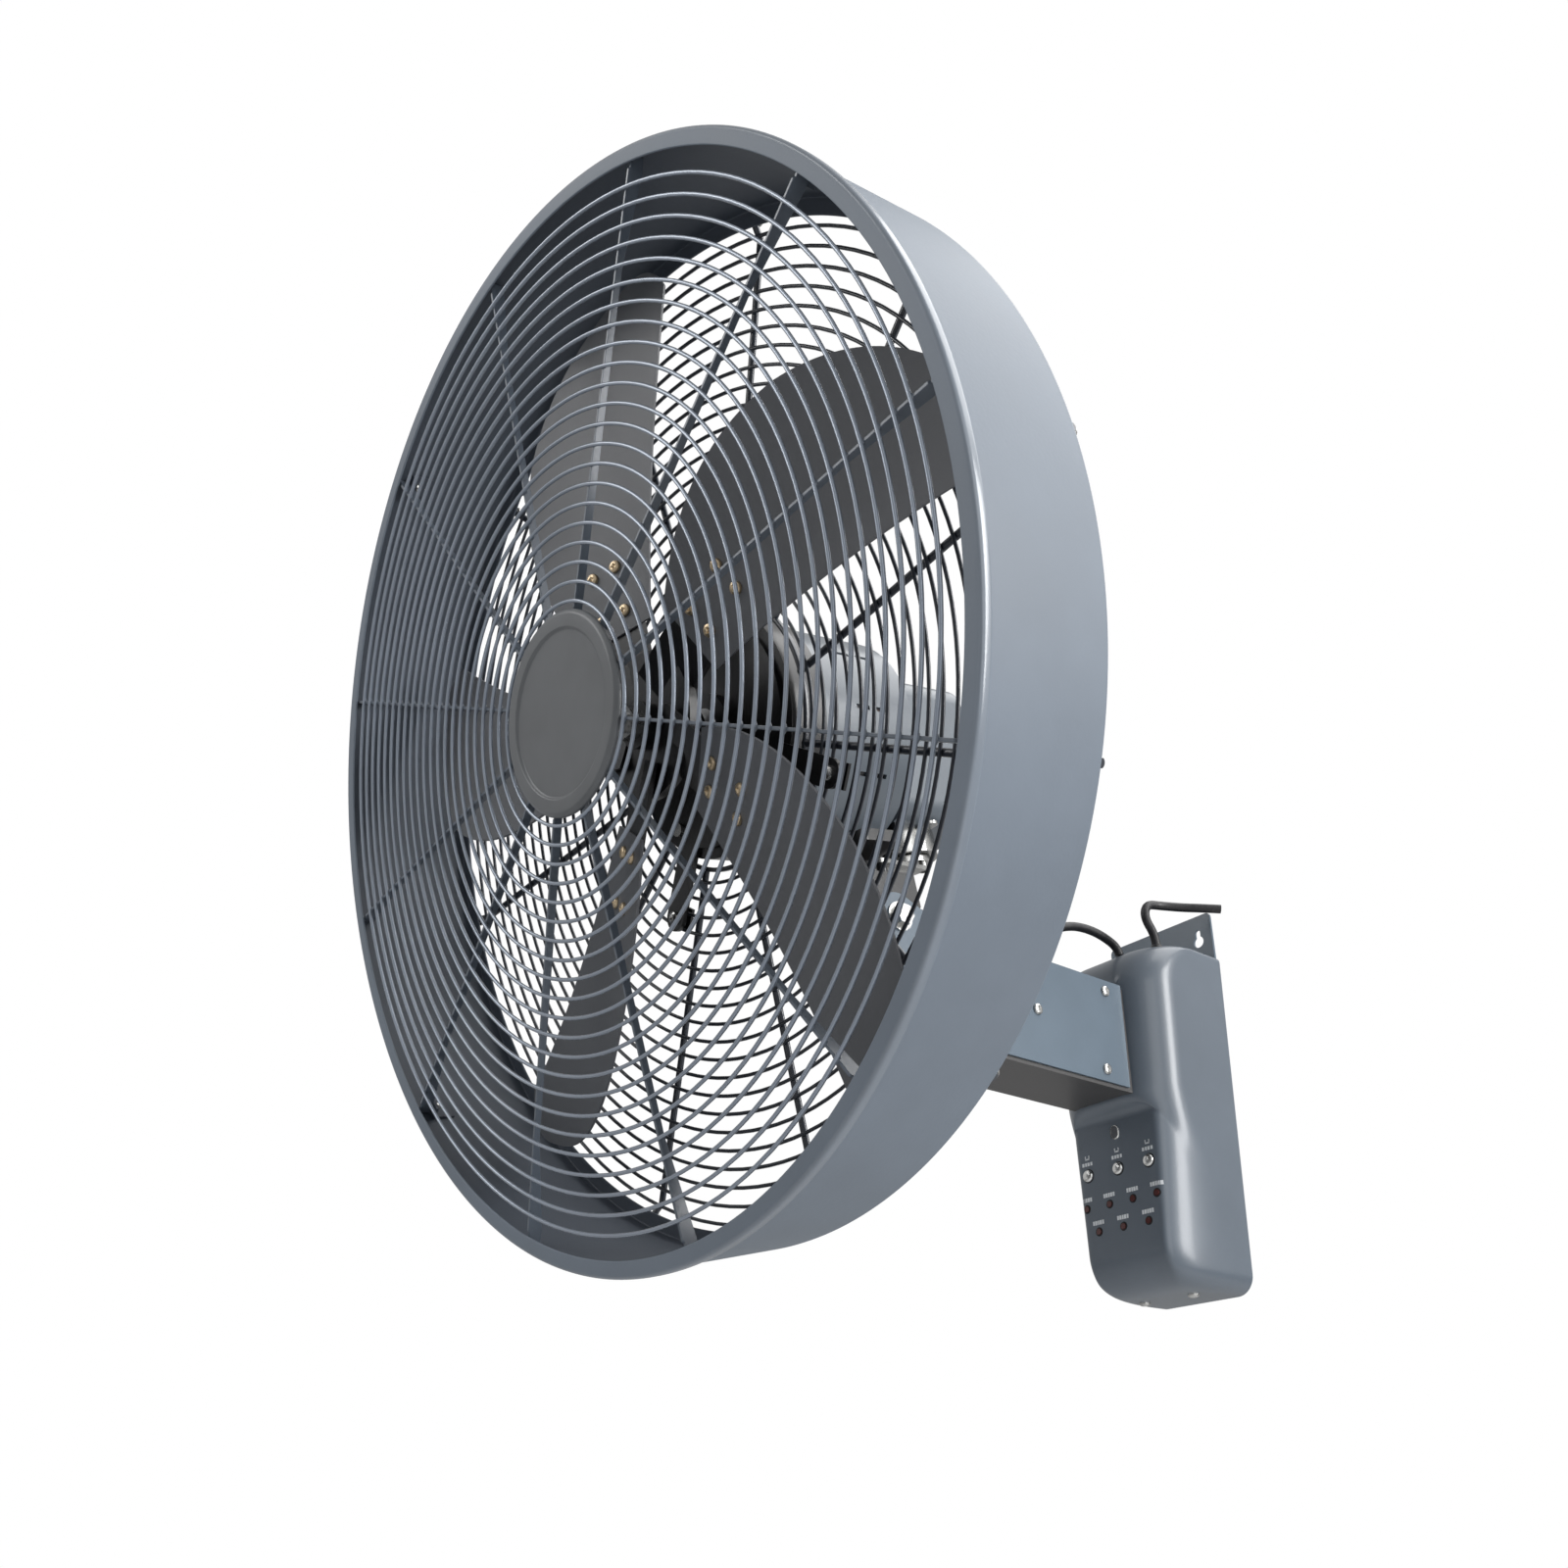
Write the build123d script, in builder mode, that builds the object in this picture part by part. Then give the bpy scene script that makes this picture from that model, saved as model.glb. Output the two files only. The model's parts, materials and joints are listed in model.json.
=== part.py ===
from build123d import *
from math import acos, atan2, cos, degrees, hypot, radians, sin, tan
import os

os.makedirs("parts", exist_ok=True)

# Wall mounted drum fan, in millimetres. The wall is the plane Y = 0, the fan stands out towards -Y,
# Z is up, and the origin is midway between the two keyholes of the wall plate.

# Head and its place
head_reach = 543.0        # wall to the front lip of the drum, on the fan axis
head_rise = 15.0          # fan axis above the keyholes, at the lip
head_tilt = 14.0          # degrees that the fan faces down as it hangs
swing_depth = 200.0       # swing pin behind the lip
tilt_drop = 130.0         # tilt bolt below the fan axis
slide_gap = 0.3           # gap between sheets that slide past each other
pin_gap = 0.05            # radial gap of a turning pin in its hole
screw_gap = 0.1           # radial gap of a screw in its hole

# Drum
drum_radius = 322.0
drum_bead = 3.0
drum_depth = 91.0
drum_sheet = 1.5
bead_depth = 6.0
lip_radius = 314.5
rear_opening = 310.5

# Front guard
wire = 2.4
ring_sides = 24
ring_count = 22
ring_first = 65.5
ring_pitch = 11.2
guard_crown = 9.0         # innermost ring in front of the lip
guard_edge = 1.0          # outermost ring in front of the lip
rib_count = 12
rib_turn = 3.0
rib_sheet = 1.8
rib_inner_depth = 4.0
rib_outer_depth = 9.5
rib_start = 30.0
rib_waist = 255.0         # radius where the ribs grow deeper towards the rim
rib_waist_depth = 4.0
weld = 0.5                # depth that a welded wire sinks in
guard_screw_count = 4
guard_screw_turn = 33.0
guard_screw_circle = 315.5
guard_screw_radius = 2.0
pad_length = 9.0
pad_width = 14.0
pad_sheet = 1.5
bracket_leg = 14.0
badge_radius = 61.0
badge_flat = 49.0
badge_front = 10.5
badge_thick = 4.0
badge_rim = 1.6
centre_plate_radius = 40.0
centre_plate_thick = 2.0
badge_screw_circle = 26.0
badge_screw_radius = 1.5

# Rear guard
rear_ring_count = 20
rear_ring_first = 94.0
rear_dish_depth = 104.5   # front of the rods at the centre hoop
rear_rim_depth = 96.0     # front of the rods near the drum
rod_width = 5.0
rod_thick = 4.0
rod_start = 84.0
hoop_thick = 3.0
rear_screw_count = 6
rear_screw_circle = 316.0
rear_screw_radius = 1.8
strap_count = 4
strap_turn = -125.0
strap_reach = 130.0
strap_width = 18.0
strap_thick = 3.0
strap_plate_radius = 72.0
clamp_size = 16.0
clamp_thick = 2.0
clamp_screw_radius = 2.5

# Blades and hub
blade_count = 5
blade_turn = 21.0
blade_pitch = 14.0
blade_camber = 6.0
blade_chord = 144.0
blade_mid_depth = 49.0
blade_mid_offset = -20.0
blade_sheet = 1.5
blade_root = 66.0
arm_sheet = 3.0
hub_arm_start = 20.0
hub_arm_reach = 128.0
hub_arm_width = 36.0
hub_arm_offset = 6.0
hub_radius = 46.0
hub_disc_depth = 50.0
hub_disc_thick = 6.0
hub_boss_radius = 15.0
hub_boss_front = 42.0
hub_boss_end = 84.0
blade_screw_rows = (80.0, 112.0)
blade_screw_spacing = 18.0
blade_screw_radius = 2.0
shaft_radius = 6.0
shaft_front = 32.0
hub_nut_width = 19.0
hub_nut_thick = 8.0

# Motor
bell_front = 100.5
bell_radius = 79.0
bell_end = 128.0
bell_wall = 5.5
bearing_radius = 16.0
bearing_width = 12.0
boss_radius = 26.0
boss_front = 92.0
shaft_hole = 8.0
cup_radius = 75.0
cup_end = 216.0
cup_wall = 2.5
cup_shoulder = 10.0
rear_boss_radius = 20.0
stator_inner = 40.0
stator_front = 140.0
stator_length = 40.0
coil_overhang = 9.0
coil_radius = 56.0
air_gap = 0.5
vent_rows = 11
vent_turn = -4.8
vent_length = 11.0
vent_width = 3.0
vent_pitch = 17.0
vent_depth = 172.0
tie_bolt_circle = 66.0
tie_bolt_radius = 2.5
cover_half_width = 42.0
cover_top = 46.0
cover_bottom = -62.0
cover_end = 302.0
cover_wall = 2.5
cover_corner = 16.0
cover_edge = 8.0
cover_screw_inset = 16.0
cover_boss = 5.0
cover_screw_radius = 1.8

# Neck, swing drive and tilt bracket
neck_radius = 12.0
neck_top_width = 60.0
neck_top_length = 40.0
neck_block = -77.0        # where the neck starts to narrow
neck_waist = -84.0
neck_collar = 4.0
neck_bore = 4.5
spigot_radius = 8.0
spigot_end = -112.0
bush_radius = 11.0
bush_flange = 15.0
bush_flange_thick = 2.0
bracket_top = -98.0
bracket_sheet = 3.0
bracket_half_length = 24.0
bracket_ear = 16.0
bracket_web = -122.0      # lower edge of its rear web
swing_nut_width = 24.0
swing_motor_radius = 25.0
swing_motor_depth = 246.0
swing_motor_thick = 17.0
swing_ear = 38.0
drive_shaft = 3.0
crank_radius = 19.5
crank_throw = 15.8
crank_turn = 9.8          # degrees from +X to the crank pin at rest
crank_thick = 4.0
crank_drop = 1.0          # gap between swing motor and crank
crank_pin = 2.5
crank_pin_length = 3.6
link_width = 7.0
link_thick = 3.0
link_gap = 0.4
stud_radius = 2.5
stud_offset = 24.0
tilt_bolt_radius = 4.0
tilt_head_radius = 6.5
washer_thick = 1.5
gland_x = -9.0
gland_drop = -110.0
gland_thread = 5.0
gland_radius = 6.5
gland_length = 19.5

# Arm
arm_half_width = 30.0
arm_metal = 1.5
arm_top = -58.0
arm_bottom = -140.0
arm_end_gap = 2.5         # end of the arm's cover in front of the control box
cover_skirt = 3.0         # arm channel seen below the edge of its cover
cover_front = -281.0     # front edge of its top
cover_foot = -288.0       # front end of its lower edge
ear_turns = (70.0, 214.0)  # where the cover's edges meet its round ears
ear_radius = 17.0
channel_top = -60.0
channel_front = -285.0
flange_top_edge = -76.0
flange_reach = 16.0
flange_screw_heights = (-86.0, -130.0)
flange_screw_radius = 2.5
arm_screw_radius = 2.0
arm_head_radius = 4.2
arm_screws = [(-116, -67), (-122, -128), (-191, -98), (-268, -68), (-268, -126)]

# Wall plate and control box
plate_thick = 2.0
plate_top = 22.0
plate_bottom = -270.0
plate_corner = 4.0
keyhole_x = 38.0
keyhole_radius = 4.75
keyhole_slot = 2.5
keyhole_rise = 10.25
tab_half_width = 31.0
tab_length = 58.0
box_half_width = 54.0     # at its top
box_foot_half_width = 46.0
box_back = 0.3            # gap between its rear edge and the wall
box_top = -18.0
box_bottom = -277.0
box_front = 95.0          # upper part, measured from the wall
panel_front = 83.0
box_corner = 34.0
panel_corner = 18.0
box_wall = 2.5
box_end_wall = 5.0
swell_top = -100.0
swell_bottom = -150.0
box_rounding = 14.0       # bottom edges
box_top_rounding = 5.0
corner_relief = 1.0       # cut behind the panel where its corners curve inward
arm_slot_gap = 1.0
box_screw_x = 22.0
box_screw_y = -40.0
box_screw_radius = 2.0
button_radius = 4.5
button_pitch = 28.5
button_height = -188.0
button_proud = 2.6
button_hole_gap = 0.3
button_travel = 1.2
led_radius = 2.2
led_proud = 0.8
led_height_a = -212.0
led_pitch_a = 21.7
led_height_b = -230.0
led_pitch_b = 23.0
window_height = -161.0
window_size = (6.0, 9.0)
board_back = 68.0         # from the wall
board_thick = 1.6
board_half_width = 37.0
board_top = -154.0
board_bottom = -244.0
board_screw_inset = 4.0
switch_size = 6.0
switch_height = 4.5
board_boss = 4.0
terminal_place = (30.0, -42.0)

# Cords
cord_radius = 3.5
grommet_radius = 6.0
grommet_flange = 8.0
grommet_lip = 2.0
supply_entry = (30, -47)
motor_entry = (-4, -50)
supply_route = [
    (30, -47, -16), (30, -47, -4), (29.5, -58, 9), (29, -53, 22), (31, -37, 24.5),
    (41, -22, 23.5), (52, -11.5, 22), (62, -1, 20.5),
]
motor_route = [
    (-9, -240, -37.5), (-9, -211, -41.5), (-8.5, -183, -37), (-8, -157, -25), (-7, -133, -11),
    (-6, -110, 0.5), (-6, -88, 4.5), (-5, -68, 2.5), (-4, -50, -5), (-4, -50, -16),
]

fan = Plane(
    origin=(0, -head_reach, head_rise),
    x_dir=(1, 0, 0),
    z_dir=(0, -cos(radians(head_tilt)), -sin(radians(head_tilt))),
)
fan_axis = Axis(fan.origin, fan.z_dir)


def behind(depth):
    """Plane across the fan axis, that far behind the lip: X right, Y up, normal forward."""
    return fan.offset(-depth)


def level(height):
    """Plane along the fan axis, that far above it: X right, Y rearward, normal up."""
    return Plane(fan.origin + fan.y_dir * height, x_dir=fan.x_dir, z_dir=fan.y_dir)


def turret(height, rearward=0):
    """Plane square to the swing axis: X right, Y rearward, normal up; or that far behind it."""
    return Plane(
        fan.origin - fan.z_dir * (swing_depth + rearward) + fan.y_dir * height,
        x_dir=fan.x_dir, z_dir=fan.y_dir,
    )


def side(across):
    """Plane square to X in the head: X rearward, Y up, normal +X."""
    return Plane(fan.origin + fan.x_dir * across, x_dir=-fan.z_dir, z_dir=fan.x_dir)


def spoke(angle):
    """Plane that holds the fan axis and one radius: X outward, Y rearward."""
    outward = fan.x_dir * cos(radians(angle)) + fan.y_dir * sin(radians(angle))
    return Plane(fan.origin, x_dir=outward, z_dir=outward.cross(-fan.z_dir))


def flipped(plane):
    """The same plane seen from its other side."""
    return Plane(plane.origin, x_dir=plane.x_dir, z_dir=-plane.z_dir)


def spots(plane, locations):
    """Planes parallel to one plane, at each location on it."""
    return [Plane(plane.location * location) for location in locations]


def around(radius, count, turn):
    """Places evenly spaced on a circle, the first at an angle."""
    return list(PolarLocations(radius, count, start_angle=turn))


def finish(piece, label):
    piece.part.label = label
    export_step(piece.part, f"parts/{label}.step")


def cylinder(plane, radius, length, bore=0, mode=Mode.ADD):
    """Round bar or sleeve that stands on a plane."""
    with BuildSketch(plane) as face:
        Circle(radius)
        if bore:
            Circle(bore, mode=Mode.SUBTRACT)
    extrude(face.sketch, amount=length, mode=mode)


def prism(plane, flats, length, bore=0):
    """Hexagon nut or head that stands on a plane."""
    with BuildSketch(plane) as face:
        RegularPolygon(flats / 2, 6, major_radius=False)
        if bore:
            Circle(bore, mode=Mode.SUBTRACT)
    extrude(face.sketch, amount=length)


def block(plane, centre, width, height, length, mode=Mode.ADD):
    """Rectangular block that stands on a plane."""
    with BuildSketch(plane) as face:
        with Locations(centre):
            Rectangle(width, height)
    extrude(face.sketch, amount=length, mode=mode)


def disc(outer, front, rear, inner=0, mode=Mode.ADD):
    """Round plate or sleeve on the fan axis, from one depth to another."""
    cylinder(behind(rear), outer, rear - front, inner, mode)


def turned(points):
    """Solid of revolution about the fan axis, from (radius, depth) points."""
    with BuildSketch(level(0)) as face:
        with BuildLine():
            Polyline(*points, close=True)
        make_face()
    revolve(face.sketch, axis=fan_axis)


def drill(planes, radius, length):
    """Round holes that go down from each plane."""
    for plane in planes:
        cylinder(plane, radius, -length, mode=Mode.SUBTRACT)


def screws(planes, head, head_height, shank, length):
    """Round headed screws, their heads on the planes and their shanks below."""
    for plane in planes:
        cylinder(plane, head, head_height)
        cylinder(plane, shank, -length)


def polygon_ring(radius, front):
    """Guard ring of square wire, bent as a polygon whose corners meet the ribs."""
    with BuildSketch(behind(front + wire)) as face:
        RegularPolygon(radius + wire / 2, ring_sides, rotation=rib_turn)
        RegularPolygon(radius - wire / 2, ring_sides, rotation=rib_turn, mode=Mode.SUBTRACT)
    extrude(face.sketch, amount=wire)


def radial_plates(points, thick):
    """The same flat plate, drawn as (radius, depth), on every rib's spoke."""
    for number in range(rib_count):
        with BuildSketch(spoke(rib_turn + 360 / rib_count * number)) as face:
            with BuildLine():
                Polyline(*points, close=True)
            make_face()
        extrude(face.sketch, amount=thick / 2, both=True)


# Drum -------------------------------------------------------------------------------------
drum_inner = drum_radius - drum_sheet
rim_radius = drum_radius + drum_bead
rear_screw_places = around(rear_screw_circle, rear_screw_count, rib_turn)
with BuildPart() as drum:
    turned([
        (lip_radius, 0), (rim_radius, 0), (rim_radius, bead_depth),
        (drum_radius, bead_depth + drum_bead), (drum_radius, drum_depth),
        (rear_opening, drum_depth), (rear_opening, drum_depth - drum_sheet),
        (drum_inner, drum_depth - drum_sheet), (drum_inner, drum_sheet), (lip_radius, drum_sheet),
    ])
    drill(
        spots(behind(drum_depth - drum_sheet), rear_screw_places),
        rear_screw_radius + screw_gap, drum_sheet,
    )
finish(drum, "drum_shroud")

# Front guard ------------------------------------------------------------------------------
ring_last = ring_first + ring_pitch * (ring_count - 1)
crown_slope = (guard_crown - guard_edge) / (ring_last - ring_first)


def crown(radius):
    """Depth of the front of the guard rings at a radius."""
    return -guard_crown + crown_slope * (radius - ring_first)


badge_back = badge_thick - badge_front
plate_back = badge_back + centre_plate_thick
rib_end = drum_inner - slide_gap
rib_step = drum_sheet + 1
shelf = rib_outer_depth + guard_edge
guard_screw_places = around(guard_screw_circle, guard_screw_count, guard_screw_turn)
badge_screw_places = around(badge_screw_circle, 3, 90)
with BuildPart() as front_guard:
    for number in range(ring_count):
        ring_radius = ring_first + ring_pitch * number
        polygon_ring(ring_radius, crown(ring_radius))
    radial_plates([
        (rib_start, badge_back), (badge_radius, badge_back),
        (badge_radius + 1, crown(badge_radius) + wire - weld),
        (lip_radius - 3, crown(lip_radius) + wire - weld),
        (lip_radius - 2, rib_step), (rib_end, rib_step), (rib_end, shelf),
        (lip_radius - 4, shelf), (rib_waist, crown(rib_waist) + wire - weld + rib_waist_depth),
        (rib_start, badge_back + rib_inner_depth),
    ], rib_sheet)
    disc(centre_plate_radius, badge_back, plate_back)
    for spot in spots(behind(shelf), guard_screw_places):
        block(spot, (0, 0), pad_length, pad_width, pad_sheet)
        cylinder(spot, guard_screw_radius + screw_gap, shelf, mode=Mode.SUBTRACT)
    drill(
        spots(behind(badge_back), badge_screw_places),
        badge_screw_radius + screw_gap, rib_inner_depth,
    )
finish(front_guard, "front_guard")

badge_bite = badge_thick - badge_rim - 0.8
with BuildPart() as badge:
    turned([
        (0, -badge_front + badge_rim), (badge_flat, -badge_front + badge_rim),
        (badge_flat + 1.5, -badge_front), (badge_radius - 2.5, -badge_front),
        (badge_radius, -badge_front + 2), (badge_radius, badge_back), (0, badge_back),
    ])
    for spot in spots(behind(badge_back), badge_screw_places):
        cylinder(spot, badge_screw_radius + screw_gap, badge_bite, mode=Mode.SUBTRACT)
finish(badge, "badge")

with BuildPart() as badge_screws:
    screws(
        [flipped(spot) for spot in spots(behind(plate_back), badge_screw_places)],
        3.2, 2.0, badge_screw_radius, centre_plate_thick + badge_bite - 0.2,
    )
finish(badge_screws, "badge_screws")

with BuildPart() as guard_brackets:
    for spot in spots(behind(shelf + pad_sheet), guard_screw_places):
        block(spot, (0, 0), pad_length, pad_width, pad_sheet)
        leg = (drum_inner - slide_gap - guard_screw_circle - pad_sheet / 2, 0)
        block(spot.offset(-bracket_leg), leg, pad_sheet, pad_width, bracket_leg + pad_sheet)
        cylinder(spot, guard_screw_radius + screw_gap, pad_sheet, mode=Mode.SUBTRACT)
finish(guard_brackets, "guard_brackets")

with BuildPart() as guard_screws:
    screws(
        [flipped(spot) for spot in spots(behind(shelf + pad_sheet), guard_screw_places)],
        3.2, 2.2, guard_screw_radius, 2 * pad_sheet + 3,
    )
finish(guard_screws, "guard_screws")

# Rear guard -------------------------------------------------------------------------------
rod_slope = (rear_dish_depth - rear_rim_depth) / (rear_opening - rod_start)


def dish(radius):
    """Depth of the front of the rear guard's rods at a radius."""
    return rear_dish_depth - rod_slope * (radius - rod_start)


rod_end = rear_screw_circle + 4
with BuildPart() as rear_guard:
    for number in range(rear_ring_count):
        ring_radius = rear_ring_first + ring_pitch * number
        polygon_ring(ring_radius, dish(ring_radius) - wire + weld)
    radial_plates([
        (rod_start, dish(rod_start)), (rear_opening - 3, rear_rim_depth),
        (rear_opening + 1, drum_depth), (rod_end, drum_depth),
        (rod_end, drum_depth + rod_thick), (rear_opening + 1.7, drum_depth + rod_thick),
        (rear_opening - 2, rear_rim_depth + rod_thick), (rod_start, dish(rod_start) + rod_thick),
    ], rod_width)
    disc(rod_start + hoop_thick, dish(rod_start), dish(rod_start) + rod_thick, rod_start)
    drill(spots(behind(drum_depth), rear_screw_places), rear_screw_radius + screw_gap, rod_thick)
finish(rear_guard, "rear_guard")

with BuildPart() as rear_guard_screws:
    screws(
        [flipped(spot) for spot in spots(behind(drum_depth + rod_thick), rear_screw_places)],
        3.6, 2.2, rear_screw_radius, rod_thick + drum_sheet + 4,
    )
finish(rear_guard_screws, "rear_guard_screws")

strap_places = around(strap_reach - strap_width / 2, strap_count, strap_turn)
tie_bolt_places = around(tie_bolt_circle, 4, 45)
clamp_front = dish(strap_reach - strap_width / 2 - clamp_size) + weld
with BuildPart() as guard_straps:
    disc(strap_plate_radius, bell_front - strap_thick, bell_front, boss_radius)
    with BuildSketch(behind(bell_front)) as strap:
        with PolarLocations((boss_radius + strap_reach) / 2 + 5, strap_count, strap_turn):
            SlotOverall(strap_reach - boss_radius - 10, strap_width)
    extrude(strap.sketch, amount=strap_thick)
    strap_face = behind(bell_front - strap_thick)
    drill(spots(strap_face, strap_places), clamp_screw_radius + screw_gap, strap_thick)
    drill(spots(strap_face, tie_bolt_places), tie_bolt_radius + screw_gap, strap_thick)
finish(guard_straps, "guard_straps")

with BuildPart() as guard_clamps:
    for spot in spots(behind(clamp_front + clamp_thick), strap_places):
        block(spot, (0, 0), clamp_size, clamp_size, clamp_thick)
        cylinder(spot, clamp_screw_radius + screw_gap, clamp_thick, mode=Mode.SUBTRACT)
finish(guard_clamps, "guard_clamps")

with BuildPart() as clamp_screws:
    grip = clamp_front + clamp_thick - bell_front + strap_thick
    screws(spots(strap_face, strap_places), 4.5, 3.0, clamp_screw_radius, grip + 3)
finish(clamp_screws, "clamp_screws")

# Blades and hub ---------------------------------------------------------------------------
# Every blade is cut from one bent sheet: an arc across the blade, deepest behind its chord.
bend_radius = (blade_chord**2 / 4 + blade_camber**2) / (2 * blade_camber)
bend_offset = blade_mid_offset + sin(radians(blade_pitch)) * (blade_camber - bend_radius)
bend_depth = blade_mid_depth + cos(radians(blade_pitch)) * (blade_camber - bend_radius)
blade_angles = [blade_turn + 360 / blade_count * number for number in range(blade_count)]


def bent_sheet(angle, start, thick, near, far, low, high):
    """Sheet that follows the blades' bend, its front face that far behind theirs."""
    outward = spoke(angle).x_dir
    across = Plane(fan.origin + outward * near, x_dir=fan.z_dir.cross(outward), z_dir=-outward)
    with BuildSketch(across) as section:
        with Locations((bend_offset, bend_depth)):
            Circle(bend_radius + start + thick)
            Circle(bend_radius + start, mode=Mode.SUBTRACT)
        with Locations(((low + high) / 2, blade_mid_depth)):
            Rectangle(high - low, blade_chord, mode=Mode.INTERSECT)
    extrude(section.sketch, amount=near - far)


def blade_spot(angle, along, across):
    """Plane on the front face of a blade, square to the sheet there."""
    turn = acos((across - bend_offset) / bend_radius)
    outward = spoke(angle).x_dir
    sideways = fan.z_dir.cross(outward)
    depth = bend_depth + bend_radius * sin(turn)
    place = fan.origin + outward * along + sideways * across - fan.z_dir * depth
    return Plane(place, x_dir=outward, z_dir=fan.z_dir * sin(turn) - sideways * cos(turn))


def screw_spots(angle):
    """Planes of the four screws of one blade."""
    steps = (hub_arm_offset - blade_screw_spacing / 2, hub_arm_offset + blade_screw_spacing / 2)
    return [blade_spot(angle, row, step) for row in blade_screw_rows for step in steps]


for number, angle in enumerate(blade_angles, start=1):
    with BuildPart() as blade:
        bent_sheet(angle, 0, blade_sheet, 0, 320, -110, 80)
        with BuildSketch(Plane(fan.origin, x_dir=spoke(angle).x_dir, z_dir=fan.z_dir)) as outline:
            with BuildLine():
                ThreePointArc((blade_root, 30), (140, 53), (215, 42))
                ThreePointArc((215, 42), (264, 6), (289, -46))
                ThreePointArc((289, -46), (290, -76), (268, -92))
                ThreePointArc((268, -92), (170, -50), (blade_root, -20))
                Line((blade_root, -20), (blade_root, 30))
            make_face()
        extrude(outline.sketch, amount=-120, mode=Mode.INTERSECT)
        for spot in screw_spots(angle):
            cylinder(spot.offset(1), blade_screw_radius + screw_gap, -4, mode=Mode.SUBTRACT)
    finish(blade, f"blade_{number}")

arm_low = hub_arm_offset - hub_arm_width / 2
with BuildPart() as hub_spider:
    for angle in blade_angles:
        bent_sheet(
            angle, blade_sheet, arm_sheet, hub_arm_start, hub_arm_reach,
            arm_low, arm_low + hub_arm_width,
        )
    disc(hub_radius, hub_disc_depth, hub_disc_depth + hub_disc_thick)
    disc(hub_boss_radius, hub_boss_front, hub_boss_end)
    disc(shaft_radius, hub_boss_front, hub_boss_end, mode=Mode.SUBTRACT)
    for angle in blade_angles:
        for spot in screw_spots(angle):
            cylinder(spot.offset(1), blade_screw_radius + screw_gap, -8, mode=Mode.SUBTRACT)
finish(hub_spider, "hub_spider")

with BuildPart() as blade_screws:
    for angle in blade_angles:
        lifted = [spot.offset(0.2) for spot in screw_spots(angle)]
        screws(lifted, 4.2, 2.2, blade_screw_radius, blade_sheet + arm_sheet + 3)
finish(blade_screws, "blade_screws")

with BuildPart() as hub_nut:
    prism(behind(hub_boss_front), hub_nut_width, hub_nut_thick, shaft_radius)
finish(hub_nut, "hub_nut")

# Motor ------------------------------------------------------------------------------------
bearing_end = boss_front + bearing_width
rear_bearing_front = cup_end - cup_wall - bearing_width
stator_end = stator_front + stator_length
with BuildPart() as motor_shaft:
    disc(shaft_radius, shaft_front, cup_end + 2)
finish(motor_shaft, "motor_shaft")

with BuildPart() as rotor:
    disc(stator_inner - air_gap, stator_front - 2, stator_end + 2, shaft_radius)
finish(rotor, "rotor")

with BuildPart() as motor_front_bell:
    turned([
        (bearing_radius, boss_front), (boss_radius, boss_front), (boss_radius, bell_front),
        (bell_radius, bell_front), (bell_radius, bell_end), (bell_radius - bell_wall, bell_end),
        (bell_radius - bell_wall, bell_front + bell_wall), (shaft_hole, bell_front + bell_wall),
        (shaft_hole, bearing_end), (bearing_radius, bearing_end),
    ])
    drill(spots(behind(bell_front), tie_bolt_places), tie_bolt_radius + screw_gap, bell_wall)
finish(motor_front_bell, "motor_front_bell")

cover_height = cover_top - cover_bottom
cover_mid = (cover_top + cover_bottom) / 2
cover_screw_places = [
    Location((x, cover_mid + y))
    for x in (cover_screw_inset - cover_half_width, cover_half_width - cover_screw_inset)
    for y in (cover_screw_inset - cover_height / 2, cover_height / 2 - cover_screw_inset)
]
with BuildPart() as motor_cup:
    turned([
        (cup_radius, bell_end), (cup_radius, cup_end - cup_shoulder),
        (cup_radius - cup_shoulder, cup_end), (shaft_hole, cup_end),
        (shaft_hole, cup_end - cup_wall), (bearing_radius, cup_end - cup_wall),
        (bearing_radius, rear_bearing_front), (rear_boss_radius, rear_bearing_front),
        (rear_boss_radius, cup_end - cup_wall), (cup_radius - cup_shoulder - 2, cup_end - cup_wall),
        (cup_radius - cup_wall, cup_end - cup_shoulder - 2), (cup_radius - cup_wall, bell_end),
    ])
    for number in range(vent_rows):
        outward = spoke(vent_turn + 360 / vent_rows * number).x_dir
        face = Plane(behind(vent_depth).origin, x_dir=-fan.z_dir, z_dir=outward)
        for step in (-vent_pitch / 2, vent_pitch / 2):
            block(face, (step, 0), vent_length, vent_width, cup_radius + 5, Mode.SUBTRACT)
    drill(
        spots(behind(cup_end - cup_shoulder), tie_bolt_places),
        tie_bolt_radius + screw_gap, cup_shoulder,
    )
    drill(
        spots(behind(cup_end - cup_wall), cover_screw_places),
        cover_screw_radius + screw_gap, cup_wall,
    )
finish(motor_cup, "motor_cup")

for label, front in (("front_bearing", boss_front), ("rear_bearing", rear_bearing_front)):
    with BuildPart() as bearing:
        disc(bearing_radius, front, front + bearing_width, shaft_radius + pin_gap)
    finish(bearing, label)

with BuildPart() as stator_core:
    disc(cup_radius - cup_wall, stator_front, stator_end, stator_inner)
    drill(
        spots(behind(stator_front), tie_bolt_places), tie_bolt_radius + screw_gap, stator_length
    )
finish(stator_core, "stator_core")

with BuildPart() as stator_coils:
    for front in (stator_front - coil_overhang, stator_end):
        with BuildSketch(behind(front + coil_overhang)) as coil:
            RegularPolygon(coil_radius, 12)
            RegularPolygon(stator_inner + 5, 12, mode=Mode.SUBTRACT)
        extrude(coil.sketch, amount=coil_overhang)
finish(stator_coils, "stator_coils")

with BuildPart() as tie_bolts:
    bolt_length = cup_end - cup_shoulder / 2 - bell_front + strap_thick
    screws(spots(strap_face, tie_bolt_places), 4.5, 3.0, tie_bolt_radius, bolt_length)
finish(tie_bolts, "tie_bolts")

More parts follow.
